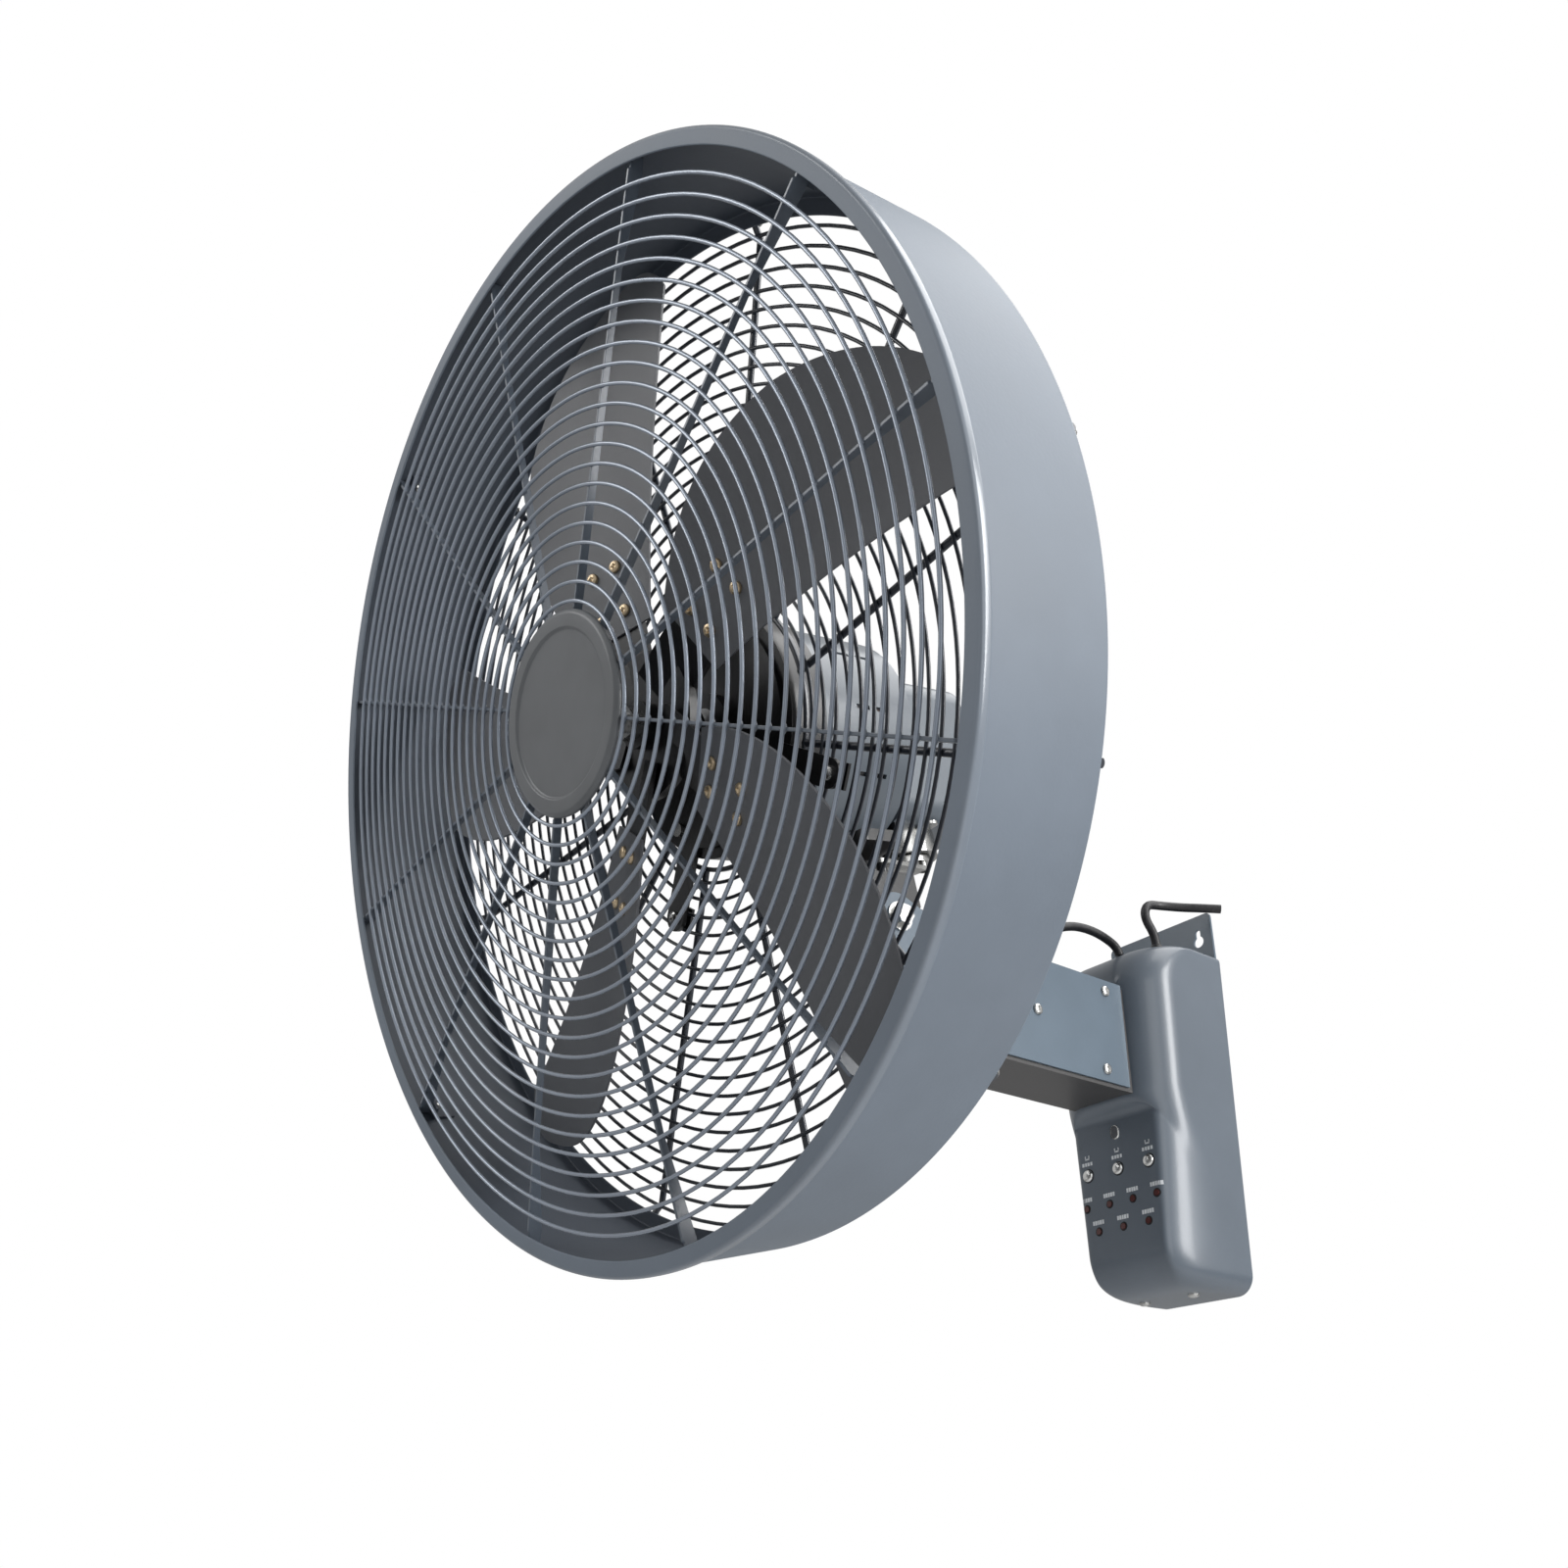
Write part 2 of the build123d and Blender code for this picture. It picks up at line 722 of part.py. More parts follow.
swing_motor_spot = turret(cover_bottom, swing_motor_depth - swing_depth)
with BuildPart() as gear_cover:
    with BuildSketch(behind(cover_end)) as outside:
        with Locations((0, cover_mid)):
            RectangleRounded(2 * cover_half_width, cover_height, cover_corner)
    extrude(outside.sketch, amount=cover_end - cup_end)
    fillet(gear_cover.faces().sort_by(fan_axis)[0].edges(), cover_edge)
    with BuildSketch(behind(cover_end - cover_wall)) as inside:
        with Locations((0, cover_mid)):
            RectangleRounded(
                2 * (cover_half_width - cover_wall), cover_height - 2 * cover_wall,
                cover_corner - cover_wall,
            )
    extrude(inside.sketch, amount=cover_end - cover_wall - cup_end, mode=Mode.SUBTRACT)
    for spot in spots(behind(cover_end - cover_wall), cover_screw_places):
        cylinder(spot, cover_boss, cover_end - cover_wall - cup_end)
    drill(
        [flipped(spot) for spot in spots(behind(cover_end), cover_screw_places)],
        cover_screw_radius + screw_gap, cover_end - cup_end,
    )
finish(gear_cover, "gear_cover")

with BuildPart() as cover_screws:
    screws(
        [flipped(spot) for spot in spots(behind(cover_end), cover_screw_places)],
        4.0, 2.2, cover_screw_radius, cover_end - cup_end + 2,
    )
finish(cover_screws, "cover_screws")

# Neck and swing drive ---------------------------------------------------------------------
motor_foot = cover_bottom - swing_motor_thick
crank_top = motor_foot - crank_drop
crank_end = crank_top - crank_thick
link_top = crank_end - crank_pin_length - link_gap
link_end = link_top - link_thick
flange_top = bracket_top + bush_flange_thick
neck_foot = flange_top + pin_gap
sleeve_end = bracket_top - bracket_sheet - bush_flange_thick
with BuildPart() as neck:
    with BuildSketch(turret(neck_block)) as saddle:
        RectangleRounded(neck_top_width, neck_top_length, 8)
    extrude(saddle.sketch, amount=cover_bottom - neck_block)
    with BuildSketch(turret(neck_waist)) as waist:
        Circle(neck_radius)
    loft([waist.sketch, saddle.sketch])
    cylinder(turret(spigot_end), spigot_radius, neck_waist - spigot_end)
    cylinder(turret(neck_foot), neck_radius, neck_collar)
    disc(cup_radius, bell_end, cup_end, mode=Mode.SUBTRACT)
    cylinder(turret(spigot_end), neck_bore, cover_bottom - spigot_end, mode=Mode.SUBTRACT)
finish(neck, "neck")

with BuildPart() as swing_nut:
    cylinder(turret(sleeve_end - pin_gap), bush_flange, -washer_thick, spigot_radius)
    prism(turret(sleeve_end - pin_gap - washer_thick), swing_nut_width, -6, spigot_radius)
finish(swing_nut, "swing_nut")

with BuildPart() as swing_motor:
    cylinder(swing_motor_spot, swing_motor_radius, -swing_motor_thick)
    with BuildSketch(swing_motor_spot) as ears:
        SlotOverall(2 * swing_ear, 12)
    extrude(ears.sketch, amount=-2)
    cylinder(
        turret(motor_foot, swing_motor_depth - swing_depth), drive_shaft + pin_gap,
        swing_motor_thick - 6, mode=Mode.SUBTRACT,
    )
finish(swing_motor, "swing_motor")

drive_spot = turret(crank_end, swing_motor_depth - swing_depth)
pin_place = (crank_throw * cos(radians(crank_turn)), crank_throw * sin(radians(crank_turn)))
with BuildPart() as swing_crank:
    cylinder(drive_spot, crank_radius, crank_thick)
    cylinder(drive_spot, drive_shaft, crank_thick + crank_drop + swing_motor_thick - 8)
    cylinder(spots(drive_spot, [Location(pin_place)])[0], crank_pin, -crank_pin_length)
finish(swing_crank, "swing_crank")

link_along = swing_motor_depth - swing_depth + pin_place[1]
link_across = stud_offset - pin_place[0]
link_length = hypot(link_across, link_along)
link_angle = 90 + degrees(atan2(link_across, link_along))
with BuildPart() as swing_link:
    with BuildSketch(turret(link_end)) as bar:
        with Locations(Location((stud_offset, 0), link_angle)):
            with Locations((link_length / 2, 0)):
                SlotCenterToCenter(link_length, link_width)
            Circle(stud_radius + pin_gap, mode=Mode.SUBTRACT)
            with Locations((link_length, 0)):
                Circle(crank_pin + pin_gap, mode=Mode.SUBTRACT)
    extrude(bar.sketch, amount=link_thick)
finish(swing_link, "swing_link")

# Tilt bracket -----------------------------------------------------------------------------
bracket_half_width = arm_half_width - arm_metal - slide_gap
inner_half_width = bracket_half_width - bracket_sheet
rear_face = swing_depth + bracket_half_length
gland_plane = Plane(behind(rear_face).location * Location((gland_x, gland_drop)))
with BuildPart() as tilt_bracket:
    block(
        turret(bracket_top - bracket_sheet), (0, 0), 2 * bracket_half_width,
        2 * bracket_half_length, bracket_sheet,
    )
    for start in (-bracket_half_width, inner_half_width):
        with BuildSketch(side(start)) as ear:
            with BuildLine():
                Polyline(
                    (swing_depth - bracket_half_length, bracket_top), (rear_face, bracket_top),
                    (rear_face, bracket_web), (swing_depth + bracket_ear, -tilt_drop),
                    (swing_depth - bracket_ear, -tilt_drop),
                    (swing_depth - bracket_half_length, bracket_web), close=True,
                )
            make_face()
            with Locations((swing_depth, -tilt_drop)):
                Circle(bracket_ear)
        extrude(ear.sketch, amount=bracket_sheet)
    block(
        behind(rear_face), (0, (bracket_top + bracket_web) / 2), 2 * inner_half_width,
        bracket_top - bracket_web, bracket_sheet,
    )
    stud = spots(turret(bracket_top), [Location((stud_offset, 0))])[0]
    cylinder(stud, stud_radius + 1, link_end - bracket_top - slide_gap)
    cylinder(stud, stud_radius, link_top - bracket_top + 0.8)
    cylinder(turret(bracket_top), bush_radius, -bracket_sheet, mode=Mode.SUBTRACT)
    cylinder(gland_plane, gland_thread, bracket_sheet, mode=Mode.SUBTRACT)
    with BuildSketch(side(-bracket_half_width)) as bolt_hole:
        with Locations((swing_depth, -tilt_drop)):
            Circle(tilt_bolt_radius + pin_gap)
    extrude(bolt_hole.sketch, amount=2 * bracket_half_width, mode=Mode.SUBTRACT)
finish(tilt_bracket, "tilt_bracket")

with BuildPart() as swing_bush:
    cylinder(turret(sleeve_end), bush_radius, bracket_top - sleeve_end)
    cylinder(turret(bracket_top), bush_flange, bush_flange_thick)
    cylinder(
        turret(sleeve_end), spigot_radius + pin_gap, flange_top - sleeve_end, mode=Mode.SUBTRACT
    )
finish(swing_bush, "swing_bush")

with BuildPart() as cord_gland:
    cylinder(gland_plane, gland_thread, bracket_sheet + 4)
    prism(gland_plane, 16, -5)
    cylinder(gland_plane, gland_radius, -gland_length)
    fillet(cord_gland.faces().sort_by(fan_axis)[0].edges(), 2)
finish(cord_gland, "cord_gland")

# Arm --------------------------------------------------------------------------------------
pivot = fan.origin - fan.z_dir * swing_depth - fan.y_dir * tilt_drop
cover_rear = -box_front - arm_end_gap
ear_top, ear_front = [
    (pivot.Y + ear_radius * cos(radians(turn)), pivot.Z + ear_radius * sin(radians(turn)))
    for turn in ear_turns
]
with BuildPart() as arm_cover:
    for start in (-arm_half_width, arm_half_width - arm_metal):
        with BuildSketch(Plane.YZ.offset(start)) as flank:
            with BuildLine():
                Polyline(
                    (cover_rear, arm_top), (cover_front, arm_top), ear_top, ear_front,
                    (cover_foot, arm_bottom + cover_skirt), (cover_rear, arm_bottom + cover_skirt),
                    close=True,
                )
            make_face()
            with Locations((pivot.Y, pivot.Z)):
                Circle(ear_radius)
                Circle(tilt_bolt_radius + screw_gap, mode=Mode.SUBTRACT)
            with Locations(arm_screws):
                Circle(arm_screw_radius + screw_gap, mode=Mode.SUBTRACT)
        extrude(flank.sketch, amount=arm_metal)
    block(
        Plane.XY.offset(arm_top - arm_metal), (0, (cover_rear + cover_front) / 2),
        2 * arm_half_width, cover_rear - cover_front, arm_metal,
    )
finish(arm_cover, "arm_cover")

flange_face = plate_thick + arm_metal
flange_spots = [
    Location((x, z))
    for x in (-bracket_half_width - flange_reach / 2, bracket_half_width + flange_reach / 2)
    for z in flange_screw_heights
]
with BuildPart() as arm_channel:
    for start in (-bracket_half_width, bracket_half_width - arm_metal):
        with BuildSketch(Plane.YZ.offset(start)) as flank:
            with Locations(((channel_front - plate_thick) / 2, (channel_top + arm_bottom) / 2)):
                Rectangle(-plate_thick - channel_front, channel_top - arm_bottom)
            with Locations(arm_screws):
                Circle(arm_screw_radius + screw_gap, mode=Mode.SUBTRACT)
        extrude(flank.sketch, amount=arm_metal)
    block(
        Plane.XY.offset(arm_bottom), (0, (channel_front - plate_thick) / 2),
        2 * bracket_half_width, -plate_thick - channel_front, arm_metal,
    )
    with BuildSketch(Plane.XZ.offset(plate_thick)) as flanges:
        for x in (-bracket_half_width - flange_reach / 2, bracket_half_width + flange_reach / 2):
            with Locations((x, (flange_top_edge + arm_bottom) / 2)):
                Rectangle(flange_reach, flange_top_edge - arm_bottom)
        with Locations(flange_spots):
            Circle(flange_screw_radius + screw_gap, mode=Mode.SUBTRACT)
    extrude(flanges.sketch, amount=arm_metal)
finish(arm_channel, "arm_channel")

with BuildPart() as arm_bolts:
    screws(
        spots(Plane.XZ.offset(flange_face), flange_spots), 4.5, 3.0, flange_screw_radius,
        flange_face,
    )
finish(arm_bolts, "arm_bolts")

left_flank = Plane(origin=(-arm_half_width, 0, 0), x_dir=(0, 1, 0), z_dir=(-1, 0, 0))
with BuildPart() as arm_screw_set:
    for y, z in arm_screws:
        right = spots(Plane.YZ.offset(arm_half_width), [Location((y, z))])
        left = spots(left_flank, [Location((y, -z))])
        screws(right + left, arm_head_radius, 2.2, arm_screw_radius, 5)
finish(arm_screw_set, "arm_screws")

# Tilt bolt --------------------------------------------------------------------------------
tilt_spot = Plane.YZ.location * Location((pivot.Y, pivot.Z, 0))
right_ear = Plane(tilt_spot).offset(arm_half_width)
left_ear = flipped(Plane(tilt_spot).offset(-arm_half_width))
with BuildPart() as tilt_washers:
    for face in (right_ear, left_ear):
        cylinder(face, 10, washer_thick, tilt_bolt_radius)
finish(tilt_washers, "tilt_washers")

with BuildPart() as tilt_bolt:
    prism(right_ear.offset(washer_thick), 2 * tilt_head_radius, 5.3)
    cylinder(
        right_ear.offset(washer_thick), tilt_bolt_radius,
        -2 * (arm_half_width + washer_thick) - 9,
    )
finish(tilt_bolt, "tilt_bolt")

with BuildPart() as tilt_nut:
    prism(left_ear.offset(washer_thick), 2 * tilt_head_radius, 7, tilt_bolt_radius)
finish(tilt_nut, "tilt_nut")

# Wall plate -------------------------------------------------------------------------------
box_screw_places = [Location((x, box_screw_y)) for x in (-box_screw_x, box_screw_x)]
def box_half(height):
    """Half the width of the box, which narrows downward."""
    share = (box_top - height) / (box_top - box_bottom)
    return box_half_width + (box_foot_half_width - box_half_width) * share


plate_foot = box_half(plate_bottom) - box_wall - slide_gap
plate_head = box_half(box_top) - box_wall - slide_gap
with BuildPart() as wall_plate:
    with BuildSketch(Plane.XZ) as sheet:
        with BuildLine():
            Polyline(
                (-plate_foot, plate_bottom), (plate_foot, plate_bottom), (plate_head, box_top),
                (plate_head, plate_top), (-plate_head, plate_top), (-plate_head, box_top),
                close=True,
            )
        make_face()
        fillet(sheet.vertices().group_by(Axis.Y)[0], box_rounding)
        fillet(sheet.vertices().group_by(Axis.Y)[-1], plate_corner)
        for x in (-keyhole_x, keyhole_x):
            with Locations((x, 0)):
                Circle(keyhole_radius, mode=Mode.SUBTRACT)
            with Locations((x, (keyhole_rise - keyhole_slot) / 2)):
                Rectangle(2 * keyhole_slot, keyhole_rise - keyhole_slot, mode=Mode.SUBTRACT)
            with Locations((x, keyhole_rise - keyhole_slot)):
                Circle(keyhole_slot, mode=Mode.SUBTRACT)
        with Locations(flange_spots):
            Circle(flange_screw_radius + screw_gap, mode=Mode.SUBTRACT)
    extrude(sheet.sketch, amount=plate_thick)
    block(
        Plane.XY.offset(plate_bottom - plate_thick), (0, -(tab_length + plate_thick) / 2),
        2 * tab_half_width, tab_length + plate_thick, plate_thick,
    )
    drill(
        spots(Plane.XY.offset(plate_bottom), box_screw_places), box_screw_radius, plate_thick
    )
finish(wall_plate, "wall_plate")

# Control box ------------------------------------------------------------------------------
def box_section(height, front, corner, inset):
    """Level section of the box or its hollow: square at the wall, rounded at the front."""
    with BuildSketch(Plane.XY.offset(height)) as section:
        with Locations((0, -(front - inset + box_back) / 2)):
            Rectangle(2 * (box_half(height) - inset), front - inset - box_back)
        fillet(section.vertices().group_by(Axis.Y)[0], corner - inset)
    return section.sketch


def box_body(inset, top, bottom):
    """The box's outside, or its hollow when it is inset, with rounded bottom edges."""
    with BuildPart() as body:
        loft(
            [
                box_section(top, box_front, box_corner, inset),
                box_section(swell_top, box_front, box_corner, inset),
                box_section(swell_bottom, panel_front, panel_corner, inset),
                box_section(bottom, panel_front, panel_corner, inset),
            ],
            ruled=True,
        )
        foot = body.faces().sort_by(Axis.Z)[0]
        fillet(foot.edges().filter_by(GeomType.LINE, reverse=True), box_rounding - inset)
    return body.part


panel = Plane.XZ.offset(panel_front)
panel_inside = Plane.XZ.offset(panel_front - box_wall)
board_face = Plane.XZ.offset(board_back + board_thick)
board_rear = Plane(origin=(0, -board_back, 0), x_dir=(1, 0, 0), z_dir=(0, 1, 0))
button_places = [Location((x, button_height)) for x in (-button_pitch, 0, button_pitch)]
led_places = [
    Location(((number - (count - 1) / 2) * pitch, height))
    for count, pitch, height in ((4, led_pitch_a, led_height_a), (3, led_pitch_b, led_height_b))
    for number in range(count)
]
board_screw_places = [
    Location((x, z))
    for x in (board_screw_inset - board_half_width, board_half_width - board_screw_inset)
    for z in (board_bottom + board_screw_inset, board_top - board_screw_inset)
]
grommet_places = [Location(supply_entry), Location(motor_entry)]
with BuildPart() as control_box:
    add(box_body(0, box_top, box_bottom))
    lid = control_box.faces().sort_by(Axis.Z)[-1]
    fillet(lid.edges().filter_by(GeomType.LINE, reverse=True), box_top_rounding)
    add(box_body(box_wall, box_top - box_wall, box_bottom + box_end_wall), mode=Mode.SUBTRACT)
    block(
        Plane.XY.offset(box_top), (0, -plate_thick / 2), 2 * (plate_head + slide_gap), plate_thick,
        -box_wall, Mode.SUBTRACT,
    )
    opening = (arm_top + arm_bottom) / 2
    block(
        Plane.XZ.offset(panel_front - 10), (0, opening), 2 * (bracket_half_width + arm_slot_gap),
        arm_top - arm_bottom + 2 * arm_slot_gap, 30, Mode.SUBTRACT,
    )
    for spot in spots(board_face, board_screw_places):
        cylinder(spot, board_boss, panel_front - box_wall - board_back - board_thick)
        cylinder(spot, 1.3, 8, mode=Mode.SUBTRACT)
    drill(spots(panel, button_places), button_radius + button_hole_gap, box_wall)
    drill(spots(panel, led_places), led_radius, box_wall + corner_relief)
    drill(spots(panel_inside, button_places), button_radius + 1.5 + slide_gap, corner_relief)
    with BuildSketch(panel) as window_hole:
        with Locations((0, window_height)):
            SlotOverall(window_size[1], window_size[0], rotation=90)
    extrude(window_hole.sketch, amount=-box_wall, mode=Mode.SUBTRACT)
    drill(spots(Plane.XY.offset(box_top), grommet_places), grommet_radius, box_wall)
    drill(
        spots(Plane.XY.offset(box_bottom + box_end_wall), box_screw_places),
        box_screw_radius, box_end_wall,
    )
finish(control_box, "control_box")

with BuildPart() as box_screws:
    screws(
        [flipped(spot) for spot in spots(Plane.XY.offset(box_bottom), box_screw_places)],
        4.2, 2.4, box_screw_radius, box_end_wall + plate_thick + 3,
    )
finish(box_screws, "box_screws")

with BuildPart() as ir_window:
    extrude(window_hole.sketch, amount=0.4)
    extrude(window_hole.sketch, amount=-box_wall - 1)
finish(ir_window, "ir_window")

with BuildPart() as grommets:
    for spot in spots(Plane.XY.offset(box_top), grommet_places):
        cylinder(spot, grommet_flange, grommet_lip)
        cylinder(spot, grommet_radius, -box_wall - grommet_lip)
finish(grommets, "cord_grommets")

with BuildPart() as control_board:
    block(
        board_rear, (0, -(board_top + board_bottom) / 2), 2 * board_half_width,
        board_top - board_bottom, -board_thick,
    )
    block(board_face, (0, window_height), 6, 7, 5)
    for x in (-18, 8):
        block(board_rear, (x, 215), 19, 15, 15)
    drill(spots(board_face, board_screw_places), 1.5, board_thick)
finish(control_board, "control_board")

with BuildPart() as tact_switches:
    for spot in spots(board_face, button_places):
        block(spot, (0, 0), switch_size, switch_size, switch_height - 1)
        cylinder(spot, 1.7, switch_height)
finish(tact_switches, "tact_switches")

with BuildPart() as indicator_leds:
    for spot in spots(board_face, led_places):
        cylinder(spot, led_radius, panel_front + led_proud - board_back - board_thick)
finish(indicator_leds, "indicator_leds")

with BuildPart() as board_screws:
    screws(
        [flipped(spot) for spot in spots(Plane.XZ.offset(board_back), board_screw_places)],
        2.8, 1.8, 1.3, board_thick + 6,
    )
finish(board_screws, "board_screws")

with BuildPart() as terminal_block:
    block(Plane.XZ.offset(plate_thick), terminal_place, 30, 16, 14)
    for step in (-10, 0, 10):
        spot = (terminal_place[0] + step, terminal_place[1] - 3)
        block(Plane.XZ.offset(plate_thick + 6), spot, 6, 5, 8, Mode.SUBTRACT)
finish(terminal_block, "terminal_block")

button_names = ("power_button", "speed_button", "swing_button")
stem_end = board_back + board_thick + switch_height + button_travel + 0.2
for label, place in zip(button_names, button_places):
    spot = Plane(Plane.XZ.location * place)
    with BuildPart() as button:
        with BuildSketch(Plane(spot.origin, x_dir=(1, 0, 0), z_dir=(0, 0, -1))) as profile:
            with BuildLine():
                ThreePointArc(
                    (0, panel_front + button_proud),
                    (button_radius * 0.7, panel_front + button_proud - 0.5),
                    (button_radius, panel_front + button_proud - 1.4),
                )
                Polyline(
                    (button_radius, panel_front + button_proud - 1.4),
                    (button_radius, panel_front - box_wall - 0.2),
                    (button_radius + 1.5, panel_front - box_wall - 0.2),
                    (button_radius + 1.5, panel_front - box_wall - 2), (3, panel_front - box_wall - 2),
                    (3, stem_end), (0, stem_end), (0, panel_front + button_proud),
                )
            make_face()
        revolve(profile.sketch, axis=Axis(spot.origin, (0, 1, 0)))
    finish(button, label)

# Cords ------------------------------------------------------------------------------------
def cord(route, label):
    """Round cord along a route, every corner rounded as widely as its shorter run allows."""
    corners = [Vector(*point) for point in route]
    runs = [after - before for before, after in zip(corners, corners[1:])]
    radii = [
        0.45 * min(first.length, second.length) / tan(radians(first.get_angle(second) / 2))
        for first, second in zip(runs, runs[1:])
    ]
    with BuildPart() as tube:
        with BuildLine() as path:
            FilletPolyline(*corners, radius=radii)
        centre_line = path.wire()
        with BuildSketch(Plane(origin=centre_line @ 0, z_dir=centre_line % 0)) as section:
            Circle(cord_radius)
        sweep(section.sketch, path=centre_line)
    swept = section.sketch.area * centre_line.length
    print(f"{label}: length {centre_line.length:.1f}, volume {tube.part.volume / swept:.4f} of swept")
    print("  radii", [round(radius, 1) for radius in radii])
    finish(tube, label)


gland_tip = gland_plane.origin - fan.z_dir * gland_length
gland_lead = gland_tip - fan.z_dir * 14.5
cord(supply_route, "supply_cord")
cord([tuple(gland_tip), tuple(gland_lead), *motor_route], "motor_cord")
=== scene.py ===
import json
from math import cos, pi, radians, sin, tan

import bmesh
import bpy
import numpy as np
from mathutils import Matrix, Vector


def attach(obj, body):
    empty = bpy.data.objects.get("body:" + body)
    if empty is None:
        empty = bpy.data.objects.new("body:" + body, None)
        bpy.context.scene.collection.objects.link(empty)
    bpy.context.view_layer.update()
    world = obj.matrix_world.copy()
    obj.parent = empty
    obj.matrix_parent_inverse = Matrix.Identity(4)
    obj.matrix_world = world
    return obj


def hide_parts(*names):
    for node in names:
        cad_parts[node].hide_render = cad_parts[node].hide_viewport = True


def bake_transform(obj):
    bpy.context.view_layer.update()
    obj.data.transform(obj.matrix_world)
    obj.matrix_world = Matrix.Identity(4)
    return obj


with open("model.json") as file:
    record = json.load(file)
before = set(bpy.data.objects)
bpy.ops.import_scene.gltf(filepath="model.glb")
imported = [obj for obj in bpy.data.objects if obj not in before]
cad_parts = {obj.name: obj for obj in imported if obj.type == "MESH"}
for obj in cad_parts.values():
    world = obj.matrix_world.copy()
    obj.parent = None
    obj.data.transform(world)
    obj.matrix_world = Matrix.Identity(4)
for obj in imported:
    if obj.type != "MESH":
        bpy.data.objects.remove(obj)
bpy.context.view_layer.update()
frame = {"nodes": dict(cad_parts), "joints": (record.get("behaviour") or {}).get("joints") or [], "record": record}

# Lengths are in metres. The head's own directions come from the joints of the frame: its axis is the
# fan's, and its upright is the swing axis. "depth" is the distance behind the front lip of the drum.

scene = bpy.context.scene
joints = {joint["name"]: joint for joint in frame["joints"]}
lipCentre = np.array(joints["blade_spin"]["pos_m"])
backward = -np.array(joints["blade_spin"]["axis"])
upright = np.array(joints["swing"]["axis"])
rightward = np.array([1.0, 0.0, 0.0])
fineness = 1
sharpEdge = 35          # degrees, where a bevel starts
weldReach = 1e-6

drum = {
    "radius": 0.322, "bead": 0.003, "beadDepth": 0.006, "depth": 0.091, "sheet": 0.0015,
    "lipRadius": 0.3145, "rearOpening": 0.3105,
}
guard = {
    "wireRadius": 0.0012, "rings": 22, "firstRing": 0.0655, "pitch": 0.0112,
    "crown": 0.009, "edge": 0.001, "ribs": 12, "ribTurn": 3.0, "ribSheet": 0.0018,
    "ribStart": 0.030, "innerRib": 0.004, "outerRib": 0.0095, "ribWaist": 0.255, "waistDepth": 0.004,
    "weldHalfLength": 0.16, "weldRadii": (0.0006, 0.0012, 0.0015, 0.0012, 0.0006),
    "centreRadius": 0.040, "centreThick": 0.002,
}
rearGuard = {
    "rings": 20, "firstRing": 0.094, "dish": 0.1045, "rim": 0.096, "hoop": 0.003,
    "rodStart": 0.084, "rodWidth": 0.005, "rodThick": 0.004, "rodKink": 0.307,
    "screws": 6, "screwCircle": 0.316, "headDepth": 0.095,
}
# Screw heads and shanks: radius and height of the head, radius and length of the shank.
screwSizes = {
    "rear_guard": (0.0036, 0.0022), "guard": (0.0032, 0.0022), "clamp": (0.0045, 0.003),
    "blade": (0.0042, 0.0022, 0.002, 0.0077), "arm": (0.0042, 0.0022, 0.002, 0.005),
    "box": (0.0042, 0.0024),
}
# Screws round the fan axis: circle radius, number, first angle in degrees, depth.
bracketScrews = (0.3155, 4, 33.0, 0.0135)
clampScrews = (0.121, 4, -125.0, 0.0975)
badge = {"radius": 0.061, "flat": 0.049, "front": 0.0105, "thick": 0.004, "rim": 0.0016}
blade = {
    "count": 5, "turn": 21.0, "pitch": 14.0, "camber": 0.006, "chord": 0.144, "midDepth": 0.049,
    "midOffset": -0.020, "sheet": 0.0015, "edge": 0.0005,
    "screwRows": (0.080, 0.112), "screwSpacing": 0.018, "screwMiddle": 0.006,
}
box = {
    "halfWidth": 0.054, "footHalfWidth": 0.046, "top": -0.018, "bottom": -0.277, "back": -0.0003,
    "upperFront": 0.095, "upperCorner": 0.034, "lowerFront": 0.083, "lowerCorner": 0.0145,
    "lowerCornerDepth": 0.040, "footCornerDepth": 0.068, "leastSide": 0.010,
    "topRound": 0.005, "bottomRound": 0.014, "brow": 0.040, "chin": 0.031,
    "changeStart": 0.141, "changeEnd": 0.151, "cornerLead": 0.016, "cornerLag": 0.050,
    "screwSide": 0.022, "screwBack": -0.040,
}
panel = {
    "buttonHeight": -0.188, "buttonPitch": 0.0285, "buttonRadius": 0.0045, "buttonProud": 0.0026,
    "ledRows": ((4, 0.0217, -0.212), (3, 0.023, -0.230)),
    "windowHeight": -0.161, "windowRadius": 0.003, "windowStraight": 0.003,
    "buttonRing": (0.0040, 0.0050), "ledRing": (0.0018, 0.0031),
    # Printed strokes: offset aside and width of each, then their height over the row and their size.
    "ledStrokes": (
        (-0.0044, 0.0016), (-0.0022, 0.0020), (0.0, 0.0014), (0.0021, 0.0020), (0.0044, 0.0016),
    ),
    "ledStrokeUp": 0.0066, "ledStrokeHigh": 0.0030,
    "buttonStrokes": ((-0.0042, 0.0020), (-0.0016, 0.0016), (0.0008, 0.0020), (0.0036, 0.0018)),
    "buttonStrokeUp": 0.0088, "buttonStrokeHigh": 0.0026,
    # The sign over a button: offset aside, height over the button, width and height of each stroke.
    "buttonSign": (
        (0.0, 0.0126, 0.0042, 0.0010), (-0.0017, 0.0138, 0.0008, 0.0028),
        (0.0017, 0.0138, 0.0008, 0.0028),
    ),
}
arm = {
    "halfWidth": 0.030,
    "screws": (
        (-0.116, -0.067), (-0.122, -0.128), (-0.191, -0.098), (-0.268, -0.068), (-0.268, -0.126),
    ),
}
